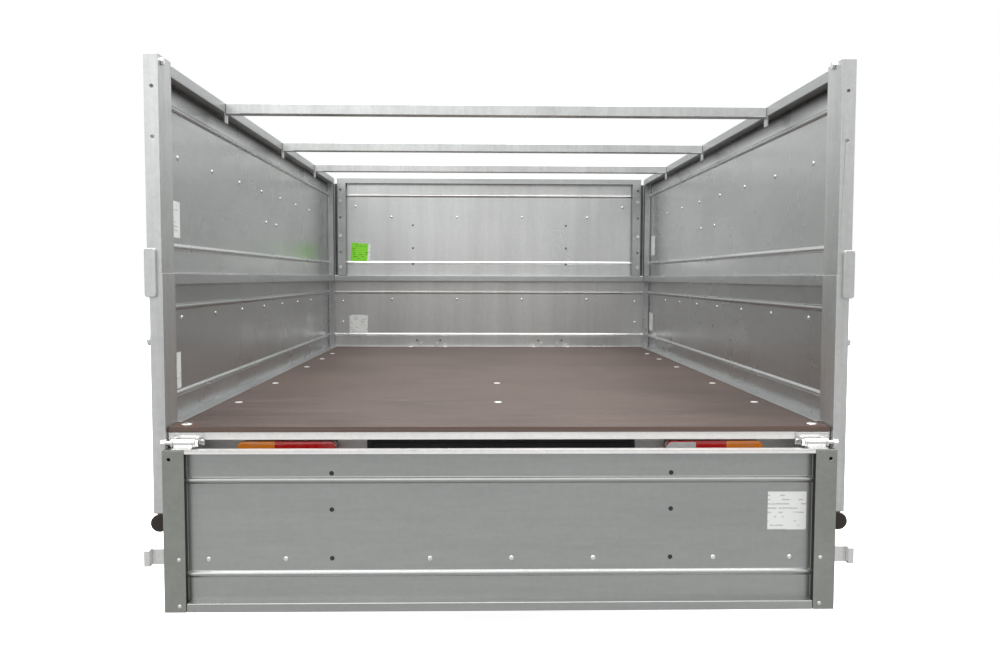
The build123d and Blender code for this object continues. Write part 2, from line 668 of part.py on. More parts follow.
for side, name in ((-1, "upper_post_left"), (1, "upper_post_right")):
    with BuildPart() as upper_post:
        top = wall_top_z + post_rise
        block((side * upper_inner, side * upper_outer), (rear_y, rear_y + post_sheet), (seam_z, top))
        block((side * upper_inner, side * (upper_inner + post_sheet)), (rear_y, rear_y + post_flange),
              (seam_z, top))
        block((side * (upper_outer - post_sheet), side * upper_outer), (rear_y, rear_y + post_flange),
              (seam_z, top))
        block((side * upper_inner, side * upper_outer), (rear_y, rear_y + post_flange),
              (top - post_sheet, top))
        for height in (250.0, 342.0):
            rod((side * (upper_inner + 13), rear_y, seam_z + height), 3.2, 12, "Y", Mode.SUBTRACT)
    upper_post.part.label = name
    export_step(upper_post.part, f"parts/{name}.step")

with BuildPart() as front_corner_posts:
    for side in (-1, 1):
        for inner, outer, low, high in (
                (inner_half, lower_sheet_x - sheet - rib_proud, deck_z - skirt_drop, seam_z),
                (upper_inner, upper_sheet_x - sheet - rib_proud, seam_z, wall_top_z - 1)):
            block((side * inner, side * outer), (corner_rear, front_y), (low, high))
            block((side * (inner + post_sheet), side * outer), (corner_rear + post_sheet, front_y - post_sheet),
                  (low + 3, high - 3), Mode.SUBTRACT)
front_corner_posts.part.label = "front_corner_posts"
export_step(front_corner_posts.part, "parts/front_corner_posts.step")

# Joint plates: they tie each upper post to the lower one, with a rounded lower end.
joint_width = 21.0
joint_top = seam_z + 46.0
joint_bottom = seam_z - 44.0
with BuildPart() as post_joint_plates:
    for side in (-1, 1):
        low_x = side * (inner_half + 10)
        high_x = side * (inner_half + 10 + joint_width)
        with BuildSketch(Plane.XZ.offset(-(rear_y - 8))):
            strip((low_x, high_x), (joint_bottom, joint_top))
        extrude(amount=-8)
    upright_edges = post_joint_plates.edges().filter_by(Axis.Y)
    fillet(upright_edges, radius=5)
post_joint_plates.part.label = "post_joint_plates"
export_step(post_joint_plates.part, "parts/post_joint_plates.step")

# ---------------------------------------------------------------------------
# Roof bows and rope hooks
# ---------------------------------------------------------------------------
with BuildPart() as roof_bows:
    bow_top = wall_top_z
    for place in bow_places:
        bow_y = rear_y + place
        block((-inner_half, inner_half), (bow_y, bow_y + bow_width), (bow_top - bow_height, bow_top))
        block((-inner_half + 2, inner_half - 2), (bow_y + bow_wall, bow_y + bow_width - bow_wall),
              (bow_top - bow_height + bow_wall, bow_top - bow_wall), Mode.SUBTRACT)
roof_bows.part.label = "roof_bows"
export_step(roof_bows.part, "parts/roof_bows.step")

hook_plate = 2.0
hook_half = 6.0
hook_reach = 14.0
hook_drop = 22.0
hook_lip_drop = 40.0
hook_gauge = 3.0
with BuildPart() as rope_hooks:
    for side in (-1, 1):
        for outer_x, height in ((lower_sheet_x, lower_hook_height), (upper_sheet_x, upper_hook_height)):
            for step in range(hook_count):
                y = rear_y + hook_first + step * hook_pitch
                z = deck_z + height
                tip = outer_x + hook_reach
                across = (y - hook_half, y + hook_half)
                block((side * outer_x, side * (outer_x + hook_plate)), (y - 9, y + 9), (z - hook_drop, z + 12))
                block((side * outer_x, side * tip), across, (z - hook_drop, z - hook_drop + hook_gauge))
                block((side * (tip - 2.5), side * tip), across, (z - hook_lip_drop, z - hook_drop + hook_gauge))
                rod((side * (outer_x + 3), y, z), 4, 3)
                rod((side * (outer_x - sheet - 1), y, z), 4.5, 2)
rope_hooks.part.label = "rope_hooks"
export_step(rope_hooks.part, "parts/rope_hooks.step")

# ---------------------------------------------------------------------------
# Tailgate and its hinges
# ---------------------------------------------------------------------------
gate_bottom = gate_top - gate_height
gate_plane = Plane(origin=(gate_half, gate_outer_y, gate_top), x_dir=(0, -1, 0), z_dir=(-1, 0, 0))
hole_x = 320.0

with BuildPart() as tailgate_panel:
    with BuildSketch(gate_plane):
        strip((0, sheet), (-gate_height, 0))
        strip((0, gate_thickness), (-sheet, 0))
        strip((gate_thickness - sheet, gate_thickness), (-7, 0))
        strip((0, gate_thickness), (-gate_height, -gate_height + 17))
        strip((sheet, gate_thickness - sheet), (-gate_height + sheet, -gate_height + 17 - sheet),
              Mode.SUBTRACT)
        for reach in gate_ribs:
            pressed_rib(-reach, 0)
    extrude(amount=2 * gate_half)
    for side in (-1, 1):
        # the rails and ribs stop where the end channels stand
        block((side * gate_half, side * (gate_half - end_channel)), (gate_outer_y - sheet, gate_inner_y - 1),
              (gate_bottom - 1, gate_top + 1), Mode.SUBTRACT)
        for drop in (47.0, 115.0, 210.0):
            rod((side * hole_x, gate_outer_y, gate_top - drop), 4, 20, "Y", Mode.SUBTRACT)
tailgate_panel.part.label = "tailgate_panel"
export_step(tailgate_panel.part, "parts/tailgate_panel.step")

with BuildPart() as tailgate_end_channels:
    for side in (-1, 1):
        block((side * gate_half, side * (gate_half - end_channel)), (gate_outer_y - sheet, gate_inner_y),
              (gate_bottom, gate_top))
        block((side * (gate_half - 2), side * (gate_half - end_channel - 1)),
              (gate_outer_y - sheet - 2, gate_inner_y + 2), (gate_bottom + 2, gate_top - 2), Mode.SUBTRACT)
        rod((side * (gate_half - 12), gate_inner_y, gate_top - 17), 3.2, 10, "Y", Mode.SUBTRACT)
tailgate_end_channels.part.label = "tailgate_end_channels"
export_step(tailgate_end_channels.part, "parts/tailgate_end_channels.step")

# Hinge leaves: a knuckle on an angle that is bolted to the hinged edge of the tailgate.
with BuildPart() as tailgate_hinge_leaves:
    for side in (-1, 1):
        x = side * hinge_x
        low_x = x - knuckle_length / 2
        high_x = x + knuckle_length / 2
        block((low_x, high_x), (gate_inner_y + 2, gate_outer_y), (gate_top, gate_top + 3))
        block((low_x, high_x), (gate_outer_y, gate_outer_y + 3), (gate_top - 30, gate_top + 3))
        block((low_x, high_x), (pivot_y - 5, pivot_y + 5), (gate_top, pivot_z))
        rod((x, pivot_y, pivot_z), knuckle_radius, knuckle_length)
        rod((x, pivot_y, pivot_z), pin_radius + running, knuckle_length, "X", Mode.SUBTRACT)
tailgate_hinge_leaves.part.label = "tailgate_hinge_leaves"
export_step(tailgate_hinge_leaves.part, "parts/tailgate_hinge_leaves.step")

# Hinge brackets: a plate on the sill with two lugs that hold the pin.
lug = 4.0
with BuildPart() as hinge_brackets:
    for side in (-1, 1):
        x = side * hinge_x
        reach = knuckle_length / 2 + play + lug
        plate_y = rear_y + sill_face_y - 3
        block((x - reach - 11, x + reach + 11), (plate_y, rear_y + sill_face_y),
              (pivot_z - 8, deck_bottom - 1))
        for edge in (-1, 1):
            inner = x + edge * (knuckle_length / 2 + play)
            with BuildSketch(Plane.YZ.offset(inner)):
                with Locations((pivot_y, pivot_z)):
                    Circle(knuckle_radius + 0.5)
                strip((pivot_y, plate_y + 1), (pivot_z - 7, pivot_z + 7))
                with Locations((pivot_y, pivot_z)):
                    Circle(pin_radius, mode=Mode.SUBTRACT)
            extrude(amount=edge * lug)
            rod((x + edge * (reach + 6), plate_y - 1.5, pivot_z - 1), 4, 3, "Y")
hinge_brackets.part.label = "hinge_brackets"
export_step(hinge_brackets.part, "parts/hinge_brackets.step")

with BuildPart() as hinge_pins:
    for side in (-1, 1):
        x = side * hinge_x
        reach = knuckle_length / 2 + play + lug
        rod((x, pivot_y, pivot_z), pin_radius, 2 * reach + 8)
        rod((x - side * (reach + 4), pivot_y, pivot_z), 7, 6)
        rod((x + side * (reach + 10), pivot_y, pivot_z), 6.5, 18)
hinge_pins.part.label = "hinge_pins"
export_step(hinge_pins.part, "parts/hinge_pins.step")

# Catches: Z-shaped straps near the free corners, gripped by the latches.
catch_z = pivot_z - catch_height
step_x = lower_outer + 2.0
with BuildPart() as tailgate_catches:
    for side in (-1, 1):
        foot_y = gate_outer_y + catch_plate
        tab_y = gate_outer_y - catch_step
        low = catch_z - catch_tall / 2
        high = catch_z + catch_tall / 2
        block((side * (gate_half - 34), side * (step_x + catch_plate)), (gate_outer_y, foot_y), (low, high))
        block((side * step_x, side * (step_x + catch_plate)), (foot_y, tab_y), (low, high))
        block((side * step_x, side * (step_x + 11)), (tab_y, tab_y + catch_plate), (low, high))
tailgate_catches.part.label = "tailgate_catches"
export_step(tailgate_catches.part, "parts/tailgate_catches.step")

# Tailgate fasteners: rivets of the rope hooks, hook plates and corner bolts.
rivet_places = (-552.0, -407.0, -136.0, 18.0, 173.0, 402.0, 549.0)
with BuildPart() as tailgate_bolts:
    for x in rivet_places:
        z = gate_top - 210
        rod((x, gate_outer_y - sheet - 1, z), 4.5, 2, "Y")
        block((x - 9, x + 9), (gate_outer_y, gate_outer_y + 2), (z - 12, z + 22))
        block((x - 6, x + 6), (gate_outer_y, gate_outer_y + 12), (z + 19, z + 22))
    for side in (-1, 1):
        for z in (gate_bottom + 10, catch_z):
            rod((side * (gate_half - 28), gate_inner_y - gate_bolt_head / 2, z), 6, gate_bolt_head, "Y")
tailgate_bolts.part.label = "tailgate_bolts"
export_step(tailgate_bolts.part, "parts/tailgate_bolts.step")

# Rubber buffers: the hanging tailgate leans on them.
buffer_gap = 0.3
with BuildPart() as tailgate_buffers:
    for side in (-1, 1):
        buffer_back = rear_y + post_sheet
        buffer_face = gate_outer_y + buffer_gap
        rod((side * (inner_half + 13), (buffer_back + buffer_face) / 2, deck_z - post_drop - 17), 16.5,
            buffer_back - buffer_face, "Y")
tailgate_buffers.part.label = "tailgate_buffers"
export_step(tailgate_buffers.part, "parts/tailgate_buffers.step")

# ---------------------------------------------------------------------------
# Latches
# ---------------------------------------------------------------------------
latch_y = rear_y + 40.0
latch_z = 2 * pivot_z - catch_z - 27.0
finger_y = pivot_y + (pivot_y - (gate_outer_y - catch_step)) - catch_plate - 1.0
plate_x = lower_outer + 5.5
lever_thick = 5.0
latch_pin = 6.0
latch_boss = 14.0
handle_half = 9.0
handle_length = 118.0
finger_width = 9.0
finger_rise = 38.0
finger_drop = 11.0
base_half = 22.0
lever_swing = 127.0        # degrees from open to latched

with BuildPart() as latch_bases:
    for side in (-1, 1):
        block((side * lower_outer, side * plate_x), (latch_y - latch_boss, latch_y + 26),
              (latch_z - base_half, latch_z + base_half))
        rod((side * (plate_x + 5), latch_y, latch_z), latch_pin, 12)
        rod((side * (plate_x + lever_thick + play + 3.5), latch_y, latch_z), 10, 6)
latch_bases.part.label = "latch_bases"
export_step(latch_bases.part, "parts/latch_bases.step")

for side, name in ((-1, "latch_lever_left"), (1, "latch_lever_right")):
    with BuildPart() as latch_lever:
        with BuildSketch(Plane.YZ.offset(side * (plate_x + play / 2))):
            Circle(latch_boss)
            # arm and finger, drawn in the latched pose
            strip((finger_y - finger_width - latch_y, 0), (-finger_drop, 1))
            strip((finger_y - finger_width - latch_y, finger_y - latch_y), (-finger_drop, finger_rise))
            # hand lever, hanging down along the post
            strip((-handle_half, handle_half), (-handle_length, 0))
            Circle(latch_pin + running, mode=Mode.SUBTRACT)
        extrude(amount=side * lever_thick)
        block((side * (plate_x + play / 2), side * (plate_x + 16)), (-handle_half, handle_half),
              (-handle_length - 3, -handle_length + 1))
    turned = Rot(lever_swing, 0, 0) * latch_lever.part
    placed = Pos(0, latch_y, latch_z) * turned
    placed.label = name
    export_step(placed, f"parts/{name}.step")

# ---------------------------------------------------------------------------
# Rear lamps and number-plate holder
# ---------------------------------------------------------------------------
lamp_inner_x = 315.0
lamp_outer_x = 502.0
lamp_top = deck_z - 29.0
lamp_height = 100.0
lamp_base = 15.0
lamp_depth = 38.0
with BuildPart() as tail_lamp_housings:
    for side in (-1, 1):
        block((side * (lamp_inner_x + 3), side * (lamp_outer_x - 3)),
              (rear_y + lamp_wall_y - lamp_base, rear_y + lamp_wall_y),
              (lamp_top - lamp_height + 3, lamp_top - 3))
tail_lamp_housings.part.label = "tail_lamp_housings"
export_step(tail_lamp_housings.part, "parts/tail_lamp_housings.step")

lens_middle = ((lamp_inner_x + lamp_outer_x) / 2, lamp_top - lamp_height / 2)
lens_width = lamp_outer_x - lamp_inner_x
lens_y = rear_y + lamp_wall_y - lamp_depth
lens_wall = 3.0
with BuildPart() as tail_lamp_lenses:
    for side in (-1, 1):
        with BuildSketch(Plane.XZ.offset(-lens_y)):
            with Locations((side * lens_middle[0], lens_middle[1])):
                RectangleRounded(lens_width, lamp_height, 12)
        extrude(amount=-(lamp_depth - lamp_base))
        with BuildSketch(Plane.XZ.offset(-(lens_y + lens_wall))):
            with Locations((side * lens_middle[0], lens_middle[1])):
                RectangleRounded(lens_width - 2 * lens_wall, lamp_height - 2 * lens_wall, 9)
        extrude(amount=-(lamp_depth - lamp_base - lens_wall), mode=Mode.SUBTRACT)
tail_lamp_lenses.part.label = "tail_lamp_lenses"
export_step(tail_lamp_lenses.part, "parts/tail_lamp_lenses.step")

plate_half = 260.0
plate_lip = 10.0
plate_tall = 121.0
plate_shelf = 5.0
plate_thick = 6.0
with BuildPart() as number_plate_holder:
    plate_back = rear_y + lamp_wall_y
    block((-plate_half, plate_half), (plate_back - plate_thick, plate_back),
          (lamp_top - plate_tall, lamp_top - 1))
    block((-plate_half + plate_lip, plate_half - plate_lip), (plate_back - plate_thick - 1, plate_back - 3),
          (lamp_top - plate_tall + 8, lamp_top - 9), Mode.SUBTRACT)
    block((-plate_half, plate_half), (plate_back - 14, plate_back),
          (lamp_top - plate_tall - plate_shelf, lamp_top - plate_tall))
    for x in (-180, 180):
        rod((x, plate_back - 4, lamp_top - 60), 3.0, 12, "Y", Mode.SUBTRACT)
number_plate_holder.part.label = "number_plate_holder"
export_step(number_plate_holder.part, "parts/number_plate_holder.step")

# ---------------------------------------------------------------------------
# Coupling
# ---------------------------------------------------------------------------
ball_z = arm_top - nose_size / 2 + 5.0
shell = nose_size / 2 + coupling_wall
handle_y = ball_y - 38.0
handle_z = arm_top + coupling_wall + 16.0
socket_low = arm_top - nose_size + 5.0
handle_pin = 4.0
handle_boss = 9.0
handle_wide = 17.0
grip_half = 18.0
grip_back = 155.0
grip_front = 75.0
shell_length = 175.0
coupling_bolt_radius = 8.0
coupling_bolt_places = (160.0, 125.0)
with BuildPart() as coupling_body:
    block((-shell, shell), (ball_y - shell_length, ball_y), (socket_low, arm_top + coupling_wall))
    rod((0, ball_y, (socket_low + arm_top + coupling_wall) / 2), shell,
        arm_top + coupling_wall - socket_low, "Z")
    top_edges = coupling_body.faces().sort_by(Axis.Z)[-1].edges()
    fillet(top_edges, radius=3)
    block((-nose_size / 2, nose_size / 2), (ball_y - shell_length - 5, ball_y - nose_front),
          (socket_low - 1, arm_top),
          Mode.SUBTRACT)
    block((-20, 20), (ball_y - nose_front + 6, ball_y - 40), (socket_low - 1, arm_top - 4), Mode.SUBTRACT)
    rod((0, ball_y, (socket_low - 1 + ball_z) / 2), ball_radius + socket_gap, ball_z - socket_low + 1, "Z",
        Mode.SUBTRACT)
    with Locations((0, ball_y, ball_z)):
        Sphere(ball_radius + socket_gap, mode=Mode.SUBTRACT)
    for edge in (-1, 1):
        block((edge * (handle_wide / 2 + 0.5), edge * (handle_wide / 2 + 4.5)),
              (handle_y - 12, handle_y + 12), (arm_top + coupling_wall, handle_z + 9))
    rod((0, handle_y, handle_z), handle_pin, 26)
    for x in (-shell - 2, shell + 2):
        for reach in coupling_bolt_places:
            rod((x, ball_y - reach, arm_top - 30), coupling_bolt_radius, 5)
coupling_body.part.label = "coupling_body"
export_step(coupling_body.part, "parts/coupling_body.step")

with BuildPart() as coupling_handle:
    with BuildSketch(Plane.YZ.offset(-handle_wide / 2)):
        with Locations((handle_y, handle_z)):
            Circle(handle_boss)
        Polygon((handle_y, handle_z - handle_boss), (handle_y, handle_z + handle_boss),
                (handle_y - 60, handle_z + 26),
                (handle_y - 150, handle_z + 34), (handle_y - 150, handle_z + 22),
                (handle_y - 60, handle_z + 12), align=None)
        with Locations((handle_y, handle_z)):
            Circle(handle_pin + running, mode=Mode.SUBTRACT)
    extrude(amount=handle_wide)
    block((-grip_half, grip_half), (handle_y - grip_back, handle_y - grip_front),
          (handle_z + 20, handle_z + 36))
    grip_edges = coupling_handle.edges().filter_by(Axis.Y)
    fillet(grip_edges, radius=4)
coupling_handle.part.label = "coupling_handle"
export_step(coupling_handle.part, "parts/coupling_handle.step")

# ---------------------------------------------------------------------------
# Jockey wheel
# ---------------------------------------------------------------------------
slide_low = 2 * jockey_wheel_radius + 16.0
tube_low = slide_low + jockey_lift + 5.0
tube_high = tube_low + 325.0
slide_high = slide_low + 315.0
slide_bore = 19.0
screw_radius = 8.0
screw_low = 420.0
tube_cap = 12.0
clamp_half = 25.0
crank_boss = 15.0
crank_throw = 95.0
crank_grip_radius = 12.0
crank_grip = 70.0
wheel_pin = 6.0
fork_plate = 4.0
bridge_half = 22.0
dish_radius = 66.0
dish_depth = 20.0
wheel_boss = 17.0
clamp_z = arm_top - arm_height / 2

with BuildPart() as jockey_clamp:
    block((jockey_x - 34, -arm_x(jockey_y) + 20), (jockey_y - 30, jockey_y + 30),
          (clamp_z - clamp_half, clamp_z + clamp_half))
    rod((jockey_x + 2, jockey_y - 38, clamp_z), 6, 18, "Y")
    rod((jockey_x + 2, jockey_y - 47, clamp_z), 3.5, 60, "Z")
    rod((jockey_x, jockey_y, clamp_z), jockey_tube, 80, "Z", Mode.SUBTRACT)
    wide = arm_width / 2 * math.sqrt(1 + arm_slope ** 2)
    with BuildSketch(Plane.XY.offset(arm_top - arm_height)):
        Polygon((-(arm_x(arm_rear_y) + wide), arm_rear_y), (0, arm_rear_y), (0, arm_front_y),
                (-(arm_x(arm_front_y) + wide), arm_front_y), align=None)
    extrude(amount=arm_height, mode=Mode.SUBTRACT)
jockey_clamp.part.label = "jockey_clamp"
export_step(jockey_clamp.part, "parts/jockey_clamp.step")

with BuildPart() as jockey_outer_tube:
    rod((jockey_x, jockey_y, (tube_low + tube_high) / 2), jockey_tube, tube_high - tube_low, "Z")
    rod((jockey_x, jockey_y, (tube_low + tube_high - tube_cap) / 2), jockey_slide + running,
        tube_high - tube_low - tube_cap + 0.01, "Z", Mode.SUBTRACT)
    rod((jockey_x, jockey_y, tube_high), screw_radius + running, 40, "Z", Mode.SUBTRACT)
jockey_outer_tube.part.label = "jockey_outer_tube"
export_step(jockey_outer_tube.part, "parts/jockey_outer_tube.step")

crank_z = tube_high + 1.0
with BuildPart() as jockey_crank:
    rod((jockey_x, jockey_y, (crank_z + 14 + screw_low) / 2), screw_radius, crank_z + 14 - screw_low, "Z")
    rod((jockey_x, jockey_y, crank_z + 8), crank_boss, 14.6, "Z")
    block((jockey_x - 9, jockey_x + 9), (jockey_y, jockey_y + crank_throw + 10), (crank_z + 10, crank_z + 15))
    rod((jockey_x, jockey_y + crank_throw, crank_z + 13 + crank_grip / 2), crank_grip_radius, crank_grip, "Z")
jockey_crank.part.label = "jockey_crank"
export_step(jockey_crank.part, "parts/jockey_crank.step")

with BuildPart() as jockey_inner_tube:
    rod((jockey_x, jockey_y, (slide_low + slide_high) / 2), jockey_slide, slide_high - slide_low, "Z")
    rod((jockey_x, jockey_y, (slide_low + slide_high) / 2 - tube_cap), slide_bore,
        slide_high - slide_low - 2 * tube_cap + 0.01, "Z", Mode.SUBTRACT)
    rod((jockey_x, jockey_y, slide_high), screw_radius + running, 80, "Z", Mode.SUBTRACT)
jockey_inner_tube.part.label = "jockey_inner_tube"
export_step(jockey_inner_tube.part, "parts/jockey_inner_tube.step")

jockey_wheel_y = jockey_y - jockey_trail
fork_half = jockey_wheel_width / 2 + 3.0
with BuildPart() as jockey_fork:
    fork_top = slide_low - 0.4
    for edge in (-1, 1):
        with BuildSketch(Plane.YZ.offset(jockey_x + edge * fork_half)):
            with Locations((jockey_wheel_y, jockey_wheel_radius)):
                Circle(18)
            with Locations((jockey_y, fork_top - 3)):
                Rectangle(2 * bridge_half, 6)
            make_hull()
            strip((jockey_y - 60, jockey_y + 60), (fork_top, fork_top + 20), Mode.SUBTRACT)
        extrude(amount=edge * fork_plate)
    block((jockey_x - fork_half - fork_plate, jockey_x + fork_half + fork_plate),
          (jockey_y - bridge_half, jockey_y + bridge_half),
          (fork_top - 5, fork_top))
    # the wheel turns below the bridge
    rod((jockey_x, jockey_wheel_y, jockey_wheel_radius), jockey_wheel_radius + 3, 2 * fork_half - 0.01, "X",
        Mode.SUBTRACT)
    rod((jockey_x, jockey_y, fork_top + 20), slide_bore - running, 44, "Z")
    rod((jockey_x, jockey_wheel_y, jockey_wheel_radius), wheel_pin, 2 * fork_half + 16)
jockey_fork.part.label = "jockey_fork"
export_step(jockey_fork.part, "parts/jockey_fork.step")

with BuildPart() as jockey_wheel:
    rod((jockey_x, jockey_wheel_y, jockey_wheel_radius), jockey_wheel_radius, jockey_wheel_width)
    rim_edges = jockey_wheel.edges().filter_by(GeomType.CIRCLE)
    fillet(rim_edges, radius=12)
    for edge in (-1, 1):
        rod((jockey_x + edge * jockey_wheel_width / 2, jockey_wheel_y, jockey_wheel_radius),
            dish_radius, dish_depth, "X",
            Mode.SUBTRACT)
        rod((jockey_x + edge * (jockey_wheel_width / 2 - 6), jockey_wheel_y, jockey_wheel_radius), wheel_boss,
            12)
    rod((jockey_x, jockey_wheel_y, jockey_wheel_radius), wheel_pin + running, 100, "X", Mode.SUBTRACT)
jockey_wheel.part.label = "jockey_wheel"
export_step(jockey_wheel.part, "parts/jockey_wheel.step")
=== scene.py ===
import json
import math

import bpy
from mathutils import Matrix, Vector


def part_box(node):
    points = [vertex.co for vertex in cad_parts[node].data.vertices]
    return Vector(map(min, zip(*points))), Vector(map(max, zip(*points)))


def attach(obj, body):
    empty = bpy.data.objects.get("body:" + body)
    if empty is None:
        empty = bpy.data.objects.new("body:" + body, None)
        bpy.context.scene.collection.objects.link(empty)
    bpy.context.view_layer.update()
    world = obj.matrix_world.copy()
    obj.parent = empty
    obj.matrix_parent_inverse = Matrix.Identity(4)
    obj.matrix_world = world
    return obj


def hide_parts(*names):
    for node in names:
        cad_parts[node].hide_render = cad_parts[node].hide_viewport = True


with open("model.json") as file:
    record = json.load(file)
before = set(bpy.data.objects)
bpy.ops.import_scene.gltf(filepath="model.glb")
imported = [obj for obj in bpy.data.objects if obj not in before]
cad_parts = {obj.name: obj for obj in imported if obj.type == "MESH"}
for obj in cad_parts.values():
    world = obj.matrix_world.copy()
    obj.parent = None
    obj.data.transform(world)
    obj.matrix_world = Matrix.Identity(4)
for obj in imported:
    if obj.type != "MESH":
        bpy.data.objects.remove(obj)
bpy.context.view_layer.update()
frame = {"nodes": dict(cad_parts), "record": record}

body_of = {node: body for body, nodes in frame["record"]["behaviour"]["bodies"].items() for node in nodes}

# ---------------------------------------------------------------------------
# The stand. A pale floor, a soft light overhead and one behind the viewer; the
# trailer is looked at from behind, through its open rear, at chest height.
# ---------------------------------------------------------------------------
rear_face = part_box("lower_post_left")[0][1]
deck_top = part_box("deck")[1][2]
half_inside = -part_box("lower_post_left")[1][0]

bpy.ops.object.select_all(action="DESELECT")
bpy.ops.mesh.primitive_plane_add(size=60)
floor = bpy.context.object
floor.name = "floor"

world = bpy.data.worlds.new("studio")
world.use_nodes = True
bpy.context.scene.world = world
sky = world.node_tree
sky_light = sky.nodes["Background"]
sky_seen = sky.nodes.new("ShaderNodeBackground")
sky_seen.inputs["Color"].default_value = (1, 1, 1, 1)
sky_seen.inputs["Strength"].default_value = 1.0
sky_pick = sky.nodes.new("ShaderNodeMixShader")
sky_path = sky.nodes.new("ShaderNodeLightPath")
sky_place = sky.nodes.new("ShaderNodeTexCoord")
sky_split = sky.nodes.new("ShaderNodeSeparateXYZ")
sky_ramp = sky.nodes.new("ShaderNodeValToRGB")
sky.links.new(sky_place.outputs["Generated"], sky_split.inputs["Vector"])
sky.links.new(sky_split.outputs["Z"], sky_ramp.inputs["Fac"])
sky.links.new(sky_ramp.outputs["Color"], sky_light.inputs["Color"])
sky.links.new(sky_path.outputs["Is Camera Ray"], sky_pick.inputs["Fac"])
sky.links.new(sky_light.outputs["Background"], sky_pick.inputs[1])
sky.links.new(sky_seen.outputs["Background"], sky_pick.inputs[2])
sky.links.new(sky_pick.outputs["Shader"], sky.nodes["World Output"].inputs["Surface"])
sky_ramp.color_ramp.elements[0].color = (0.29, 0.295, 0.30, 1)
sky_ramp.color_ramp.elements[1].color = (1.0, 1.0, 1.0, 1)
sky_ramp.color_ramp.elements[1].position = 0.75
sky_light.inputs["Strength"].default_value = 1.75


def hang_light(name, place, aim, width, depth, power):
    """A rectangular soft light that looks at a point."""
    lamp = bpy.data.lights.new(name, "AREA")
    lamp.shape = "RECTANGLE"
    lamp.size = width
    lamp.size_y = depth
    lamp.energy = power
    holder = bpy.data.objects.new(name, lamp)
    bpy.context.collection.objects.link(holder)
    holder.location = place
    holder.rotation_euler = (Vector(aim) - Vector(place)).to_track_quat("-Z", "Y").to_euler()


hang_light("overhead", (0, -0.6, 4.2), (0, -0.4, 0), 4.0, 5.0, 170)
hang_light("behind_viewer", (-1.5, -6.5, 2.6), (0, 0, 0.6), 3.5, 2.2, 22)

look = bpy.data.cameras.new("view")
look.lens = 33.3
viewer = bpy.data.objects.new("view", look)
bpy.context.collection.objects.link(viewer)
turned_right = 0.0234
tipped_down = 0.0602
rolled = 0.0026
viewer.matrix_world = (Matrix.Translation((-0.045, rear_face - 1.7306, deck_top + 0.282))
                       @ Matrix.Rotation(-turned_right, 4, "Z")
                       @ Matrix.Rotation(math.pi / 2 - tipped_down, 4, "X")
                       @ Matrix.Rotation(rolled, 4, "Z"))
bpy.context.scene.camera = viewer
bpy.context.scene.view_settings.view_transform = "Standard"


def wire(tree, kind, settings=None, **sockets):
    """A shader node: each named socket takes a value or another node's output."""
    made = tree.nodes.new(kind)
    for key, value in (settings or {}).items():
        setattr(made, key, value)
    for key, value in sockets.items():
        socket = made.inputs[key.replace("_", " ")]
        if isinstance(value, bpy.types.NodeSocket):
            tree.links.new(value, socket)
        else:
            socket.default_value = value
    return made


def blank_material(name):
    """A material with its shader, ready for a pattern."""
    material = bpy.data.materials.new(name)
    material.use_nodes = True
    return material, material.node_tree, material.node_tree.nodes["Principled BSDF"]


floor_paint, tree, shader = blank_material("floor_paint")
mottle = wire(tree, "ShaderNodeTexNoise", Scale=0.8, Detail=3.0)
shade = wire(tree, "ShaderNodeMapRange", Value=mottle.outputs["Fac"], To_Min=0.82, To_Max=0.86)
seen = wire(tree, "ShaderNodeLightPath")
paint = wire(tree, "ShaderNodeMixRGB", Fac=seen.outputs["Is Camera Ray"], Color1=(0.30, 0.30, 0.30, 1),
             Color2=shade.outputs["Result"])
glow = wire(tree, "ShaderNodeMapRange", Value=seen.outputs["Is Camera Ray"], To_Max=0.85)
tree.links.new(paint.outputs["Color"], shader.inputs["Base Color"])
tree.links.new(glow.outputs["Result"], shader.inputs["Emission Strength"])
shader.inputs["Emission Color"].default_value = (1, 1, 1, 1)
shader.inputs["Roughness"].default_value = 0.8
floor.data.materials.append(floor_paint)

# ---------------------------------------------------------------------------
# Chassis. Rails, crossmembers, axle and drawbar of folded and welded steel, dipped
# in zinc: dull grey, blotched, with runs where the zinc drained off.
# ---------------------------------------------------------------------------


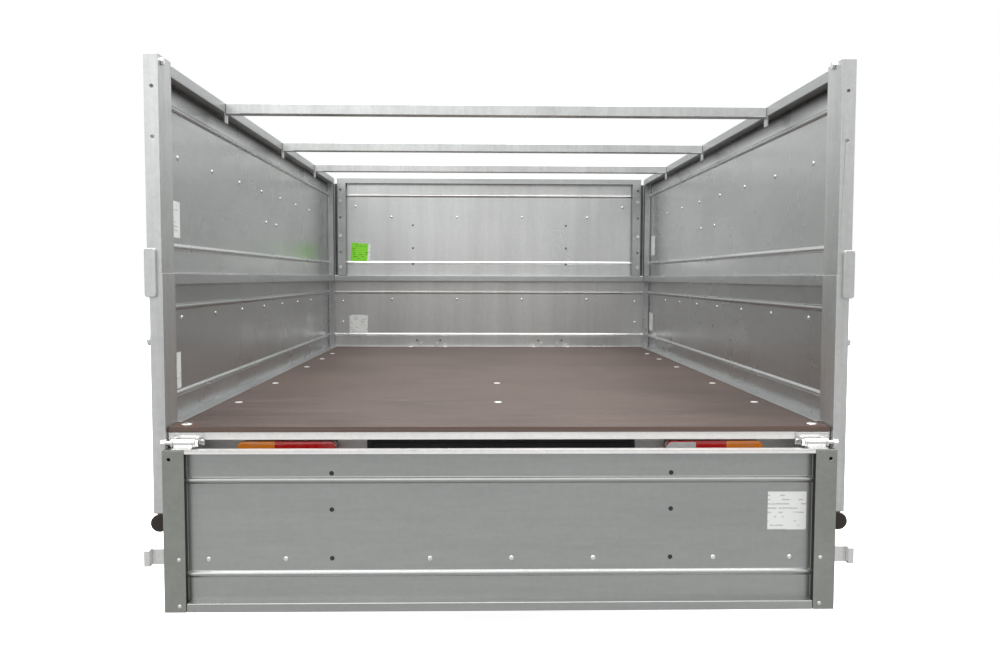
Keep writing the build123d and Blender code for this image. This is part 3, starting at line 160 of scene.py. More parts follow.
def zinc_pattern():
    """The skin of zinc-coated sheet: long soft streaks, fine crystals and slow dents."""
    group = bpy.data.node_groups.new("zinc_skin", "ShaderNodeTree")
    slot = group.interface.new_socket
    slot("Tone", in_out="INPUT", socket_type="NodeSocketColor")
    slot("Stretch", in_out="INPUT", socket_type="NodeSocketVector")
    slot("Streaks", in_out="INPUT", socket_type="NodeSocketFloat")
    slot("Dull", in_out="INPUT", socket_type="NodeSocketFloat")
    slot("Dents", in_out="INPUT", socket_type="NodeSocketFloat")
    slot("Colour", in_out="OUTPUT", socket_type="NodeSocketColor")
    slot("Roughness", in_out="OUTPUT", socket_type="NodeSocketFloat")
    slot("Height", in_out="OUTPUT", socket_type="NodeSocketFloat")
    given = group.nodes.new("NodeGroupInput")
    result = group.nodes.new("NodeGroupOutput")
    place = wire(group, "ShaderNodeTexCoord")
    run = wire(group, "ShaderNodeMapping", Vector=place.outputs["Object"], Scale=given.outputs["Stretch"])
    streak = wire(group, "ShaderNodeTexNoise", Vector=run.outputs["Vector"], Scale=2.2, Detail=7.0,
                  Roughness=0.62)
    fine = wire(group, "ShaderNodeTexNoise", Vector=run.outputs["Vector"], Scale=26.0, Detail=4.0)
    crystal = wire(group, "ShaderNodeTexVoronoi", {"feature": "F1"}, Vector=place.outputs["Object"],
                   Scale=120.0)
    crystal_tone = wire(group, "ShaderNodeSeparateColor", Color=crystal.outputs["Color"])
    blotch = wire(group, "ShaderNodeTexNoise", Vector=place.outputs["Object"], Scale=3.1, Detail=4.0)
    wide = wire(group, "ShaderNodeMapRange", Value=streak.outputs["Fac"], From_Min=0.3, From_Max=0.7,
                To_Min=-1.0, To_Max=1.0)
    narrow = wire(group, "ShaderNodeMapRange", Value=fine.outputs["Fac"], From_Min=0.3, From_Max=0.7,
                  To_Min=-0.35, To_Max=0.35)
    spangle = wire(group, "ShaderNodeMapRange", Value=crystal_tone.outputs["Red"], To_Min=-0.3, To_Max=0.3)
    both = wire(group, "ShaderNodeMath", {"operation": "ADD"})
    group.links.new(wide.outputs["Result"], both.inputs[0])
    group.links.new(narrow.outputs["Result"], both.inputs[1])
    all_three = wire(group, "ShaderNodeMath", {"operation": "ADD"})
    group.links.new(both.outputs["Value"], all_three.inputs[0])
    group.links.new(spangle.outputs["Result"], all_three.inputs[1])
    lift = wire(group, "ShaderNodeMath", {"operation": "MULTIPLY_ADD"})
    group.links.new(all_three.outputs["Value"], lift.inputs[0])
    group.links.new(given.outputs["Streaks"], lift.inputs[1])
    lift.inputs[2].default_value = 1.0
    tint = wire(group, "ShaderNodeHueSaturation", Value=lift.outputs["Value"], Color=given.outputs["Tone"])
    group.links.new(tint.outputs["Color"], result.inputs["Colour"])
    rub = wire(group, "ShaderNodeMapRange", Value=blotch.outputs["Fac"], From_Min=0.25, From_Max=0.75,
               To_Min=-0.05, To_Max=0.09)
    dull = wire(group, "ShaderNodeMath", {"operation": "ADD"})
    group.links.new(rub.outputs["Result"], dull.inputs[0])
    group.links.new(given.outputs["Dull"], dull.inputs[1])
    group.links.new(dull.outputs["Value"], result.inputs["Roughness"])
    dent = wire(group, "ShaderNodeTexNoise", Vector=run.outputs["Vector"], Scale=1.3, Detail=1.0)
    dent_size = wire(group, "ShaderNodeMath", {"operation": "MULTIPLY"})
    group.links.new(dent.outputs["Fac"], dent_size.inputs[0])
    group.links.new(given.outputs["Dents"], dent_size.inputs[1])
    grit = wire(group, "ShaderNodeMath", {"operation": "MULTIPLY_ADD"})
    group.links.new(fine.outputs["Fac"], grit.inputs[0])
    grit.inputs[1].default_value = 0.02
    group.links.new(dent_size.outputs["Value"], grit.inputs[2])
    group.links.new(grit.outputs["Value"], result.inputs["Height"])
    return group


zinc_skin = zinc_pattern()


def zinc_material(name, tone, stretch, streaks, dull, dents, metallic=0.9, folds=()):
    """Zinc-coated steel with its own tone, streak direction and gloss; a band of painted shade darkens it just
    under its folds.
    """
    material, tree, shader = blank_material(name)
    skin = tree.nodes.new("ShaderNodeGroup")
    skin.node_tree = zinc_skin
    skin.inputs["Tone"].default_value = (*tone, 1)
    skin.inputs["Stretch"].default_value = stretch
    skin.inputs["Streaks"].default_value = streaks
    skin.inputs["Dull"].default_value = dull
    skin.inputs["Dents"].default_value = dents
    bump = wire(tree, "ShaderNodeBump", Height=skin.outputs["Height"], Strength=1.0, Distance=0.004)
    colour = skin.outputs["Colour"]
    for fold in folds:
        place = wire(tree, "ShaderNodeTexCoord")
        split = wire(tree, "ShaderNodeSeparateXYZ", Vector=place.outputs["Object"])
        away = wire(tree, "ShaderNodeMath", {"operation": "SUBTRACT"})
        tree.links.new(split.outputs["Z"], away.inputs[0])
        away.inputs[1].default_value = fold
        near = wire(tree, "ShaderNodeMath", {"operation": "ABSOLUTE"})
        tree.links.new(away.outputs["Value"], near.inputs[0])
        # painted shade: a dark band just under the fold, where the rail's shadow falls
        painted_shade_band = wire(tree, "ShaderNodeMapRange", Value=near.outputs["Value"], From_Min=0.006, From_Max=0.036,
                     To_Min=0.03, To_Max=1.0)
        # painted shade: only the faces that look into the box are darkened under the fold, and lose some
        # metallic there
        normal = wire(tree, "ShaderNodeNewGeometry")
        facing = wire(tree, "ShaderNodeSeparateXYZ", Vector=normal.outputs["True Normal"])
        outward = wire(tree, "ShaderNodeMath", {"operation": "MULTIPLY"})
        tree.links.new(facing.outputs["X"], outward.inputs[0])
        tree.links.new(split.outputs["X"], outward.inputs[1])
        outside = wire(tree, "ShaderNodeMath", {"operation": "GREATER_THAN"})
        tree.links.new(outward.outputs["Value"], outside.inputs[0])
        outside.inputs[1].default_value = 0.0
        shadow = wire(tree, "ShaderNodeMath", {"operation": "MAXIMUM"})
        tree.links.new(painted_shade_band.outputs["Result"], shadow.inputs[0])
        tree.links.new(outside.outputs["Value"], shadow.inputs[1])
        metallic_in_shade = wire(tree, "ShaderNodeMath", {"operation": "MINIMUM"})
        tree.links.new(shadow.outputs["Value"], metallic_in_shade.inputs[0])
        metallic_in_shade.inputs[1].default_value = metallic
        darker = wire(tree, "ShaderNodeHueSaturation", Value=shadow.outputs["Value"], Color=colour)
        colour = darker.outputs["Color"]
    tree.links.new(colour, shader.inputs["Base Color"])
    tree.links.new(skin.outputs["Roughness"], shader.inputs["Roughness"])
    tree.links.new(bump.outputs["Normal"], shader.inputs["Normal"])
    shader.inputs["Metallic"].default_value = metallic
    if folds:
        tree.links.new(metallic_in_shade.outputs["Value"], shader.inputs["Metallic"])
        shader.inputs["Specular IOR Level"].default_value = 0.15
    return material


dipped_steel = zinc_material("dipped_steel", (0.36, 0.37, 0.37), (1, 1, 1), 0.22, 0.44, 0.25)


def pick_alone(piece):
    """Makes one piece the only selected one."""
    bpy.ops.object.select_all(action="DESELECT")
    piece.select_set(True)
    bpy.context.view_layer.objects.active = piece


def finish_modifiers(piece):
    """Applies a piece's modifiers in order."""
    pick_alone(piece)
    for modifier in list(piece.modifiers):
        bpy.ops.object.modifier_apply(modifier=modifier.name)


def shade_faces(piece, angle):
    """Smooth shading that keeps flat faces flat and edges above an angle sharp."""
    pick_alone(piece)
    bpy.ops.object.shade_smooth_by_angle(angle=math.radians(angle))
    weights = piece.modifiers.new("weights", "WEIGHTED_NORMAL")
    weights.keep_sharp = True
    weights.weight = 100
    finish_modifiers(piece)


def soft_edges(piece, width, segments=2, angle=35):
    """Rounds the sharp edges of a piece and smooths what is round."""
    rounding = piece.modifiers.new("rounding", "BEVEL")
    rounding.width = width
    rounding.segments = segments
    rounding.limit_method = "ANGLE"
    rounding.angle_limit = math.radians(angle)
    rounding.use_clamp_overlap = False
    finish_modifiers(piece)
    shade_faces(piece, angle + 5)


def dressed_copy(node, width, material, segments=2):
    """The piece of a plain node with its edges rounded; it stands for the node."""
    piece = bpy.data.objects.new(node + "_dressed", frame["nodes"][node].data.copy())
    bpy.context.collection.objects.link(piece)
    pick_alone(piece)
    bpy.ops.object.mode_set(mode="EDIT")
    bpy.ops.mesh.select_all(action="SELECT")
    bpy.ops.mesh.remove_doubles(threshold=0.00002)
    bpy.ops.mesh.dissolve_limited(angle_limit=math.radians(0.6))
    bpy.ops.object.mode_set(mode="OBJECT")
    if width:
        soft_edges(piece, width, segments)
    piece.data.materials.clear()
    piece.data.materials.append(material)
    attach(piece, body_of[node])
    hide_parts(node)
    return piece


for node in ("side_rail_left", "side_rail_right", "crossmembers", "drawbar_left", "drawbar_right",
             "drawbar_nose", "drawbar_brackets", "axle_beam", "axle_brackets", "mudguard_brackets"):
    dressed_copy(node, 0.0009, dipped_steel)

# Rear sill: the folded lip under the deck edge, with the lamp panel as its lower web. Its sheet is painted
# lighter than the other zinc, a painted highlight where it catches the light.
painted_highlight_sheet = zinc_material("painted_highlight_sheet", (0.93, 0.92, 0.90), (0.3, 6, 6), 0.10, 0.28, 0.15, 0.55)
dressed_copy("rear_sill", 0.0008, painted_highlight_sheet)

# ---------------------------------------------------------------------------
# Running gear. Forged swing arms in a square beam, hubs with four bolts, pressed
# steel rims in silver lacquer and narrow road tyres.
# ---------------------------------------------------------------------------
for side in ("left", "right"):
    dressed_copy(f"swing_arm_{side}", 0.002, dipped_steel)

turned_steel = zinc_material("turned_steel", (0.5, 0.5, 0.49), (1, 1, 1), 0.1, 0.3, 0.05)
for side in ("left", "right"):
    dressed_copy(f"wheel_hub_{side}", 0.0012, turned_steel)


def grain_pattern():
    """Moulded grain of plastic and rubber: small pebbles with a dusty bloom in patches."""
    group = bpy.data.node_groups.new("moulded_grain", "ShaderNodeTree")
    slot = group.interface.new_socket
    slot("Tone", in_out="INPUT", socket_type="NodeSocketColor")
    slot("Dust", in_out="INPUT", socket_type="NodeSocketColor")
    slot("Dustiness", in_out="INPUT", socket_type="NodeSocketFloat")
    slot("Pebbles", in_out="INPUT", socket_type="NodeSocketFloat")
    slot("Colour", in_out="OUTPUT", socket_type="NodeSocketColor")
    slot("Height", in_out="OUTPUT", socket_type="NodeSocketFloat")
    given = group.nodes.new("NodeGroupInput")
    result = group.nodes.new("NodeGroupOutput")
    place = wire(group, "ShaderNodeTexCoord")
    pebble = wire(group, "ShaderNodeTexVoronoi", Vector=place.outputs["Object"],
                  Scale=given.outputs["Pebbles"])
    patch = wire(group, "ShaderNodeTexNoise", Vector=place.outputs["Object"], Scale=9.0, Detail=6.0)
    amount = wire(group, "ShaderNodeMapRange", Value=patch.outputs["Fac"], From_Min=0.45, From_Max=0.75)
    dusty = wire(group, "ShaderNodeMath", {"operation": "MULTIPLY"})
    group.links.new(amount.outputs["Result"], dusty.inputs[0])
    group.links.new(given.outputs["Dustiness"], dusty.inputs[1])
    mix = wire(group, "ShaderNodeMixRGB", Fac=dusty.outputs["Value"], Color1=given.outputs["Tone"],
               Color2=given.outputs["Dust"])
    group.links.new(mix.outputs["Color"], result.inputs["Colour"])
    group.links.new(pebble.outputs["Distance"], result.inputs["Height"])
    return group


moulded_grain = grain_pattern()


def moulded_material(name, tone, dust, dustiness, pebbles, depth, roughness):
    """Plastic or rubber with its moulded grain."""
    material, tree, shader = blank_material(name)
    grain = tree.nodes.new("ShaderNodeGroup")
    grain.node_tree = moulded_grain
    grain.inputs["Tone"].default_value = (*tone, 1)
    grain.inputs["Dust"].default_value = (*dust, 1)
    grain.inputs["Dustiness"].default_value = dustiness
    grain.inputs["Pebbles"].default_value = pebbles
    bump = wire(tree, "ShaderNodeBump", Height=grain.outputs["Height"], Strength=1.0, Distance=depth)
    tree.links.new(grain.outputs["Colour"], shader.inputs["Base Color"])
    tree.links.new(bump.outputs["Normal"], shader.inputs["Normal"])
    shader.inputs["Roughness"].default_value = roughness
    return material


def lacquer_material(name, tone):
    """Silver lacquer over steel, with orange peel and a little road film."""
    material, tree, shader = blank_material(name)
    place = wire(tree, "ShaderNodeTexCoord")
    film = wire(tree, "ShaderNodeTexNoise", Vector=place.outputs["Object"], Scale=7.0, Detail=6.0)
    peel = wire(tree, "ShaderNodeTexNoise", Vector=place.outputs["Object"], Scale=260.0, Detail=1.0)
    paint = wire(tree, "ShaderNodeMixRGB", Fac=film.outputs["Fac"], Color1=(*tone, 1),
                 Color2=(tone[0] * 0.72, tone[1] * 0.7, tone[2] * 0.66, 1))
    gloss = wire(tree, "ShaderNodeMapRange", Value=film.outputs["Fac"], To_Min=0.28, To_Max=0.5)
    bump = wire(tree, "ShaderNodeBump", Height=peel.outputs["Fac"], Strength=0.3, Distance=0.0004)
    tree.links.new(paint.outputs["Color"], shader.inputs["Base Color"])
    tree.links.new(gloss.outputs["Result"], shader.inputs["Roughness"])
    tree.links.new(bump.outputs["Normal"], shader.inputs["Normal"])
    shader.inputs["Metallic"].default_value = 0.55
    shader.inputs["Coat Weight"].default_value = 0.4
    return material


silver_lacquer = lacquer_material("silver_lacquer", (0.62, 0.63, 0.64))
tyre_rubber = moulded_material("tyre_rubber", (0.022, 0.022, 0.023), (0.12, 0.11, 0.10), 0.45, 900,
                               0.0002, 0.75)
for side in ("left", "right"):
    dressed_copy(f"wheel_rim_{side}", 0.0008, silver_lacquer)


def new_block(name, low, high):
    """A block between two corners, left as the active piece."""
    middle = [(a + b) / 2 for a, b in zip(low, high)]
    size = [abs(b - a) for a, b in zip(low, high)]
    bpy.ops.object.select_all(action="DESELECT")
    bpy.ops.mesh.primitive_cube_add(size=1, location=middle, scale=size)
    piece = bpy.context.object
    piece.name = name
    bpy.ops.object.transform_apply(location=True, rotation=True, scale=True)
    return piece


def new_bar(name, middle, radius, length, along="Z", sides=32):
    """A round bar along one axis, left as the active piece."""
    turn = {"X": (0, math.pi / 2, 0), "Y": (math.pi / 2, 0, 0), "Z": (0, 0, 0)}[along]
    bpy.ops.object.select_all(action="DESELECT")
    bpy.ops.mesh.primitive_cylinder_add(vertices=sides, radius=radius, depth=length, location=middle,
                                        rotation=turn)
    piece = bpy.context.object
    piece.name = name
    bpy.ops.object.transform_apply(location=True, rotation=True, scale=True)
    return piece


def weld_together(pieces, name):
    """Joins pieces into one and names it."""
    bpy.ops.object.select_all(action="DESELECT")
    for piece in pieces:
        piece.select_set(True)
    bpy.context.view_layer.objects.active = pieces[0]
    bpy.ops.object.join()
    pieces[0].name = name
    return pieces[0]


def moved_copy(piece, matrix, name="copy"):
    """A copy of a piece with its own mesh, moved by a matrix."""
    copied = bpy.data.objects.new(name, piece.data.copy())
    copied.data.transform(matrix)
    if matrix.determinant() < 0:
        copied.data.flip_normals()
    bpy.context.collection.objects.link(copied)
    return copied


def discard(piece):
    """Drops a pattern piece once its copies are made."""
    bpy.data.objects.remove(piece, do_unlink=True)


def fit_out(piece, material, body, nodes=()):
    """Gives a finished piece its material, its body and the nodes it stands for."""
    piece.data.materials.clear()
    piece.data.materials.append(material)
    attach(piece, body)
    if nodes:
        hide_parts(*nodes)
    return piece


def build_tyre(side):
    """Carcass spun from its section, with four rows of tread blocks round it."""
    node = f"tyre_{side}"
    low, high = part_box(node)
    middle = (low + high) / 2
    radius = (high.z - low.z) / 2
    width = high.x - low.x
    seat = radius * 0.609
    section = ((-0.40, seat), (-0.415, seat + 0.008), (-0.46, seat + 0.016), (-0.485, seat + 0.028),
               (-0.478, seat + 0.030), (-0.488, seat + 0.034), (-0.5, seat + 0.050), (-0.497, seat + 0.064),
               (-0.487, seat + 0.068), (-0.489, seat + 0.072), (-0.47, radius - 0.020),
               (-0.43, radius - 0.010), (-0.36, radius - 0.0075), (-0.2, radius - 0.0065),
               (0, radius - 0.006))
    rings = list(section) + [(-x, r) for x, r in reversed(section[:-1])]
    bpy.ops.object.select_all(action="DESELECT")
    bpy.ops.mesh.primitive_circle_add(vertices=96, radius=seat, rotation=(0, math.pi / 2, 0),
                                      location=(-0.40 * width, 0, 0))
    carcass = bpy.context.object
    bpy.ops.object.transform_apply(location=True, rotation=True, scale=True)
    bpy.ops.object.mode_set(mode="EDIT")
    bpy.ops.mesh.select_all(action="SELECT")
    bpy.context.scene.tool_settings.transform_pivot_point = "BOUNDING_BOX_CENTER"
    before = rings[0]
    for ring in rings[1:]:
        onward = ((ring[0] - before[0]) * width, 0, 0)
        bpy.ops.mesh.extrude_region_move(TRANSFORM_OT_translate={"value": onward})
        grow = ring[1] / before[1]
        bpy.ops.transform.resize(value=(1, grow, grow), center_override=(ring[0] * width, 0, 0))
        before = ring
    bpy.ops.mesh.select_all(action="SELECT")
    bpy.ops.mesh.normals_make_consistent(inside=False)
    bpy.ops.object.mode_set(mode="OBJECT")
    wall = carcass.modifiers.new("wall", "SOLIDIFY")
    wall.thickness = 0.005
    wall.offset = -1
    finish_modifiers(carcass)
    rows = ((-0.385, 0.17, 0.0), (-0.14, 0.19, 0.5), (0.14, 0.19, 0.0), (0.385, 0.17, 0.5))
    pitch_count = 56
    blocks = []
    for across, share, phase in rows:
        block = new_block("block", ((across - share / 2) * width, -0.0105, radius - 0.012),
                          ((across + share / 2) * width, 0.0105, radius - 0.0006))
        soft_edges(block, 0.0012, 1)
        outer = abs(across) > 0.3
        for step in range(pitch_count):
            turn = Matrix.Rotation(2 * math.pi * (step + phase) / pitch_count, 4, "X")
            drop = Matrix.Translation((0, 0, -0.0025)) if outer else Matrix.Identity(4)
            blocks.append(moved_copy(block, turn @ drop))
        discard(block)
    tyre = weld_together([carcass] + blocks, f"road_tyre_{side}")
    tyre.data.transform(Matrix.Translation(middle))
    pick_alone(tyre)
    bpy.ops.object.shade_smooth_by_angle(angle=math.radians(35))
    fit_out(tyre, tyre_rubber, body_of[node], [node])


for side in ("left", "right"):
    build_tyre(side)

# Mudguards: pressed arches of black plastic, seated on two square bars.
guard_plastic = moulded_material("guard_plastic", (0.028, 0.028, 0.029), (0.10, 0.095, 0.09), 0.3, 700,
                                 0.0003, 0.55)
for side in ("left", "right"):
    dressed_copy(f"mudguard_{side}", 0.0015, guard_plastic, 3)

# ---------------------------------------------------------------------------
# Deck. One board of dark brown film-faced plywood, thin veneers showing along its
# cut edges, screwed down to the crossmembers.
# ---------------------------------------------------------------------------
board_film, tree, shader = blank_material("board_film")
place = wire(tree, "ShaderNodeTexCoord")
along = wire(tree, "ShaderNodeMapping", Vector=place.outputs["Object"], Scale=(1.2, 22.0, 1.0))
grain = wire(tree, "ShaderNodeTexNoise", Vector=along.outputs["Vector"], Scale=5.0, Detail=9.0, Roughness=0.7)
cloud = wire(tree, "ShaderNodeTexNoise", Vector=place.outputs["Object"], Scale=2.4, Detail=6.0)
speck = wire(tree, "ShaderNodeTexNoise", Vector=place.outputs["Object"], Scale=420.0, Detail=2.0)
scuff_run = wire(tree, "ShaderNodeMapping", Vector=place.outputs["Object"], Rotation=(0, 0, 0.5),
                 Scale=(1.0, 14.0, 1.0))
scuff = wire(tree, "ShaderNodeTexNoise", Vector=scuff_run.outputs["Vector"], Scale=6.0, Detail=8.0,
             Roughness=0.75)
base = wire(tree, "ShaderNodeMixRGB", Fac=cloud.outputs["Fac"], Color1=(0.012, 0.006, 0.004, 1),
            Color2=(0.104, 0.069, 0.056, 1))
grain_part = wire(tree, "ShaderNodeMapRange", Value=grain.outputs["Fac"], From_Min=0.42, From_Max=0.66,
                  To_Max=0.8)
grained = wire(tree, "ShaderNodeMixRGB", Fac=grain_part.outputs["Result"], Color1=base.outputs["Color"],
               Color2=(0.135, 0.098, 0.083, 1))
speck_part = wire(tree, "ShaderNodeMapRange", Value=speck.outputs["Fac"], From_Min=0.58, From_Max=0.78,
                  To_Max=0.4)
specked = wire(tree, "ShaderNodeMixRGB", Fac=speck_part.outputs["Result"], Color1=grained.outputs["Color"],
               Color2=(0.26, 0.21, 0.185, 1))
scuff_part = wire(tree, "ShaderNodeMapRange", Value=scuff.outputs["Fac"], From_Min=0.62, From_Max=0.8,
                  To_Max=0.35)
scuffed = wire(tree, "ShaderNodeMixRGB", Fac=scuff_part.outputs["Result"], Color1=specked.outputs["Color"],
               Color2=(0.25, 0.205, 0.18, 1))
stained = scuffed.outputs["Color"]
for side in (-1, 1):
    reach = wire(tree, "ShaderNodeVectorMath", {"operation": "DISTANCE"})
    tree.links.new(place.outputs["Object"], reach.inputs[0])
    reach.inputs[1].default_value = (side * 0.601, rear_face + 0.034, deck_top)
    edge = wire(tree, "ShaderNodeMath", {"operation": "MULTIPLY_ADD"})
    tree.links.new(cloud.outputs["Fac"], edge.inputs[0])
    edge.inputs[1].default_value = 0.02
    tree.links.new(reach.outputs["Value"], edge.inputs[2])
    stain = wire(tree, "ShaderNodeMapRange", Value=edge.outputs["Value"], From_Min=0.020, From_Max=0.032,
                 To_Min=0.85, To_Max=0.0)
    rust = wire(tree, "ShaderNodeMixRGB", Fac=stain.outputs["Result"], Color1=stained,
                Color2=(0.10, 0.035, 0.012, 1))
    stained = rust.outputs["Color"]
gloss = wire(tree, "ShaderNodeMapRange", Value=grain.outputs["Fac"], To_Min=0.42, To_Max=0.66)
shader.inputs["Specular IOR Level"].default_value = 0.3
relief = wire(tree, "ShaderNodeMath", {"operation": "ADD"})
tree.links.new(grain.outputs["Fac"], relief.inputs[0])
tree.links.new(speck.outputs["Fac"], relief.inputs[1])
bump = wire(tree, "ShaderNodeBump", Height=relief.outputs["Value"], Strength=0.6, Distance=0.0004)
tree.links.new(stained, shader.inputs["Base Color"])
tree.links.new(gloss.outputs["Result"], shader.inputs["Roughness"])
tree.links.new(bump.outputs["Normal"], shader.inputs["Normal"])

board_edge, tree, shader = blank_material("board_edge")
place = wire(tree, "ShaderNodeTexCoord")
layer_run = wire(tree, "ShaderNodeMapping", Vector=place.outputs["Object"], Scale=(1.0, 1.0, 1.0))
layers = wire(tree, "ShaderNodeTexWave", {"wave_type": "BANDS", "bands_direction": "Z"},
              Vector=layer_run.outputs["Vector"], Scale=120.0, Distortion=0.6, Detail=2.0)
fibre_run = wire(tree, "ShaderNodeMapping", Vector=place.outputs["Object"], Scale=(6.0, 6.0, 160.0))
fibre = wire(tree, "ShaderNodeTexNoise", Vector=fibre_run.outputs["Vector"], Scale=8.0, Detail=6.0)
veneer = wire(tree, "ShaderNodeMixRGB", Fac=layers.outputs["Fac"], Color1=(0.075, 0.048, 0.038, 1),
              Color2=(0.17, 0.115, 0.088, 1))
fibres = wire(tree, "ShaderNodeMixRGB", Fac=fibre.outputs["Fac"], Color1=veneer.outputs["Color"],
              Color2=(0.1, 0.068, 0.054, 1))
bump = wire(tree, "ShaderNodeBump", Height=layers.outputs["Fac"], Strength=0.5, Distance=0.0005)
tree.links.new(fibres.outputs["Color"], shader.inputs["Base Color"])
tree.links.new(bump.outputs["Normal"], shader.inputs["Normal"])
shader.inputs["Roughness"].default_value = 0.72

board = dressed_copy("deck", 0.0007, board_film)
board.data.materials.append(board_edge)
for face in board.data.polygons:
    if abs(face.normal.z) < 0.5:
        face.material_index = 1


def polished_material(name, tone, dull):
    """Bright zinc-plated hardware with faint handling marks."""
    return zinc_material(name, tone, (1, 1, 1), 0.10, dull, 0.02, 0.95)


bright_zinc = polished_material("bright_zinc", (0.80, 0.80, 0.79), 0.22)


def dome_head(name, radius, rise, sides=20):
    """A low domed head that stands on the ground at the origin."""
    head = new_bar(name, (0, 0, rise * 0.2), radius, rise * 0.4, "Z", sides)
    bpy.ops.object.mode_set(mode="EDIT")
    bpy.ops.mesh.select_mode(type="FACE")
    bpy.ops.mesh.select_all(action="DESELECT")
    bpy.ops.object.mode_set(mode="OBJECT")
    for face in head.data.polygons:
        face.select = face.normal.z > 0.9
    bpy.ops.object.mode_set(mode="EDIT")
    for step in (0.34, 0.5, 0.6):
        bpy.ops.mesh.inset(thickness=radius * step * 0.5)
        bpy.ops.transform.translate(value=(0, 0, rise * (0.62 - step) * 0.9 + rise * 0.08))
    bpy.ops.object.mode_set(mode="OBJECT")
    bpy.ops.object.shade_smooth_by_angle(angle=math.radians(50))
    return head


def cross_recess(head, radius, depth):
    """Cuts a crossed driver recess in the top of a head."""
    top = max(corner.co.z for corner in head.data.vertices)
    slim = radius * 0.22
    cutters = [new_block("cutter", (-radius, -slim, top - depth), (radius, slim, top + 0.01)),
               new_block("cutter", (-slim, -radius, top - depth), (slim, radius, top + 0.01))]
    for cutter in cutters:
        cut = head.modifiers.new("recess", "BOOLEAN")
        cut.object = cutter
        cut.solver = "EXACT"
        finish_modifiers(head)
        discard(cutter)


def spread(pattern, spots, name):
    """Copies of a pattern at each matrix, joined into one piece."""
    copies = [moved_copy(pattern, spot) for spot in spots]
    return weld_together(copies, name)


screw_zinc = zinc_material("screw_zinc", (0.95, 0.95, 0.93), (1, 1, 1), 0.08, 0.34, 0.02, 0.35)
screw_head = dome_head("screw_head", 0.0085, 0.0016)
cross_recess(screw_head, 0.0036, 0.0009)
coach_head = dome_head("coach_head", 0.0105, 0.0042, 24)
member_lines = [rear_face + reach for reach in (0.355, 0.733, 1.184, 1.470, 1.697)]
deck_front_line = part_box("deck")[1][1]
screw_spots = [Matrix.Translation((x, y, deck_top)) for y in member_lines for x in (-0.585, 0.585)]
screw_spots += [Matrix.Translation((0.005 * index, y, deck_top)) for index, y in enumerate(member_lines[:2])]
coach_spots = [Matrix.Translation((x, rear_face + 0.034, deck_top)) for x in (-0.601, 0.601)]
coach_spots += [Matrix.Translation((x, deck_front_line - 0.048, deck_top))
                for x in (-0.32, -0.181, 0.181, 0.32)]
deck_screws = spread(screw_head, screw_spots, "deck_screws")
coach_bolts = spread(coach_head, coach_spots, "deck_coach_bolts")
fit_out(deck_screws, screw_zinc, "chassis", ["deck_bolts"])
fit_out(coach_bolts, bright_zinc, "chassis", ["deck_bolts"])
discard(screw_head)
discard(coach_head)

# ---------------------------------------------------------------------------
# Walls. Thin zinc-coated sheets, each pressed with two long ribs and folded to a
# hollow rail along its top; the lower tier has a foot flange on the deck and a skirt.
# ---------------------------------------------------------------------------
head_rail = 0.022
seam_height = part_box("lower_wall_left")[1][2]
wall_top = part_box("upper_wall_left")[1][2]
# The upper side sheets carry a band of painted shade under their head rail.
side_sheet = zinc_material("side_sheet", (0.56, 0.57, 0.57), (5.0, 0.5, 2.6), 0.07, 0.25, 0.0,
                           folds=(wall_top - head_rail,))
low_side_sheet = zinc_material("low_side_sheet", (0.46, 0.47, 0.47), (5.0, 0.5, 2.6), 0.08, 0.27, 0.0)
end_sheet = zinc_material("end_sheet", (0.69, 0.70, 0.69), (7.0, 0.5, 0.5), 0.07, 0.30, 0.04)
low_end_sheet = zinc_material("low_end_sheet", (0.58, 0.58, 0.57), (7.0, 0.5, 0.5), 0.08, 0.32, 0.04)
rail_sheet = zinc_material("rail_sheet", (0.48, 0.49, 0.49), (1.0, 0.6, 5.0), 0.10, 0.30, 0.10)
sheet_gauge = 0.0015
rib_proud = 0.0045
hole_radius = 0.0045
foot_reach = 0.030
low_ribs, high_ribs = (0.048, 0.222), (0.053, 0.326)
rib_half = 0.0052


def new_ribbed_sheet(name, length, low, high, ribs):
    """A flat sheet in its own plane, x along it, y up it and z inwards, with its ribs pressed."""
    bpy.ops.object.select_all(action="DESELECT")
    bpy.ops.mesh.primitive_plane_add(size=1)
    sheet = bpy.context.object
    sheet.name = name
    sheet.data.transform(Matrix.Translation((length / 2, (low + high) / 2, 0))
                         @ Matrix.Diagonal((length, high - low, 1, 1)))
    bpy.ops.object.mode_set(mode="EDIT")
    for rib in ribs:
        for edge in (-rib_half, -rib_half * 0.4, rib_half * 0.4, rib_half):
            bpy.ops.mesh.select_all(action="SELECT")
            bpy.ops.mesh.bisect(plane_co=(0, rib + edge, 0), plane_no=(0, 1, 0))
    bpy.ops.mesh.select_all(action="DESELECT")
    bpy.ops.mesh.select_mode(type="VERT")
    bpy.ops.object.mode_set(mode="OBJECT")
    for corner in sheet.data.vertices:
        corner.select = any(abs(corner.co.y - rib) < rib_half * 0.6 for rib in ribs)
    bpy.ops.object.mode_set(mode="EDIT")
    bpy.ops.transform.translate(value=(0, 0, rib_proud))
    bpy.ops.mesh.select_mode(type="EDGE")
    bpy.ops.mesh.select_all(action="DESELECT")
    bpy.ops.object.mode_set(mode="OBJECT")
    for edge in sheet.data.edges:
        ends = [sheet.data.vertices[index].co for index in edge.vertices]
        along = abs(ends[0].y - ends[1].y) < 1e-5
        edge.select = along and any(abs(ends[0].y - rib) < rib_half * 1.1 for rib in ribs)
    bpy.ops.object.mode_set(mode="EDIT")
    bpy.ops.mesh.bevel(offset=rib_half * 0.36, segments=3)
    bpy.ops.object.mode_set(mode="OBJECT")
    gauge = sheet.modifiers.new("gauge", "SOLIDIFY")
    gauge.thickness = sheet_gauge
    gauge.offset = 1
    finish_modifiers(sheet)
    return sheet


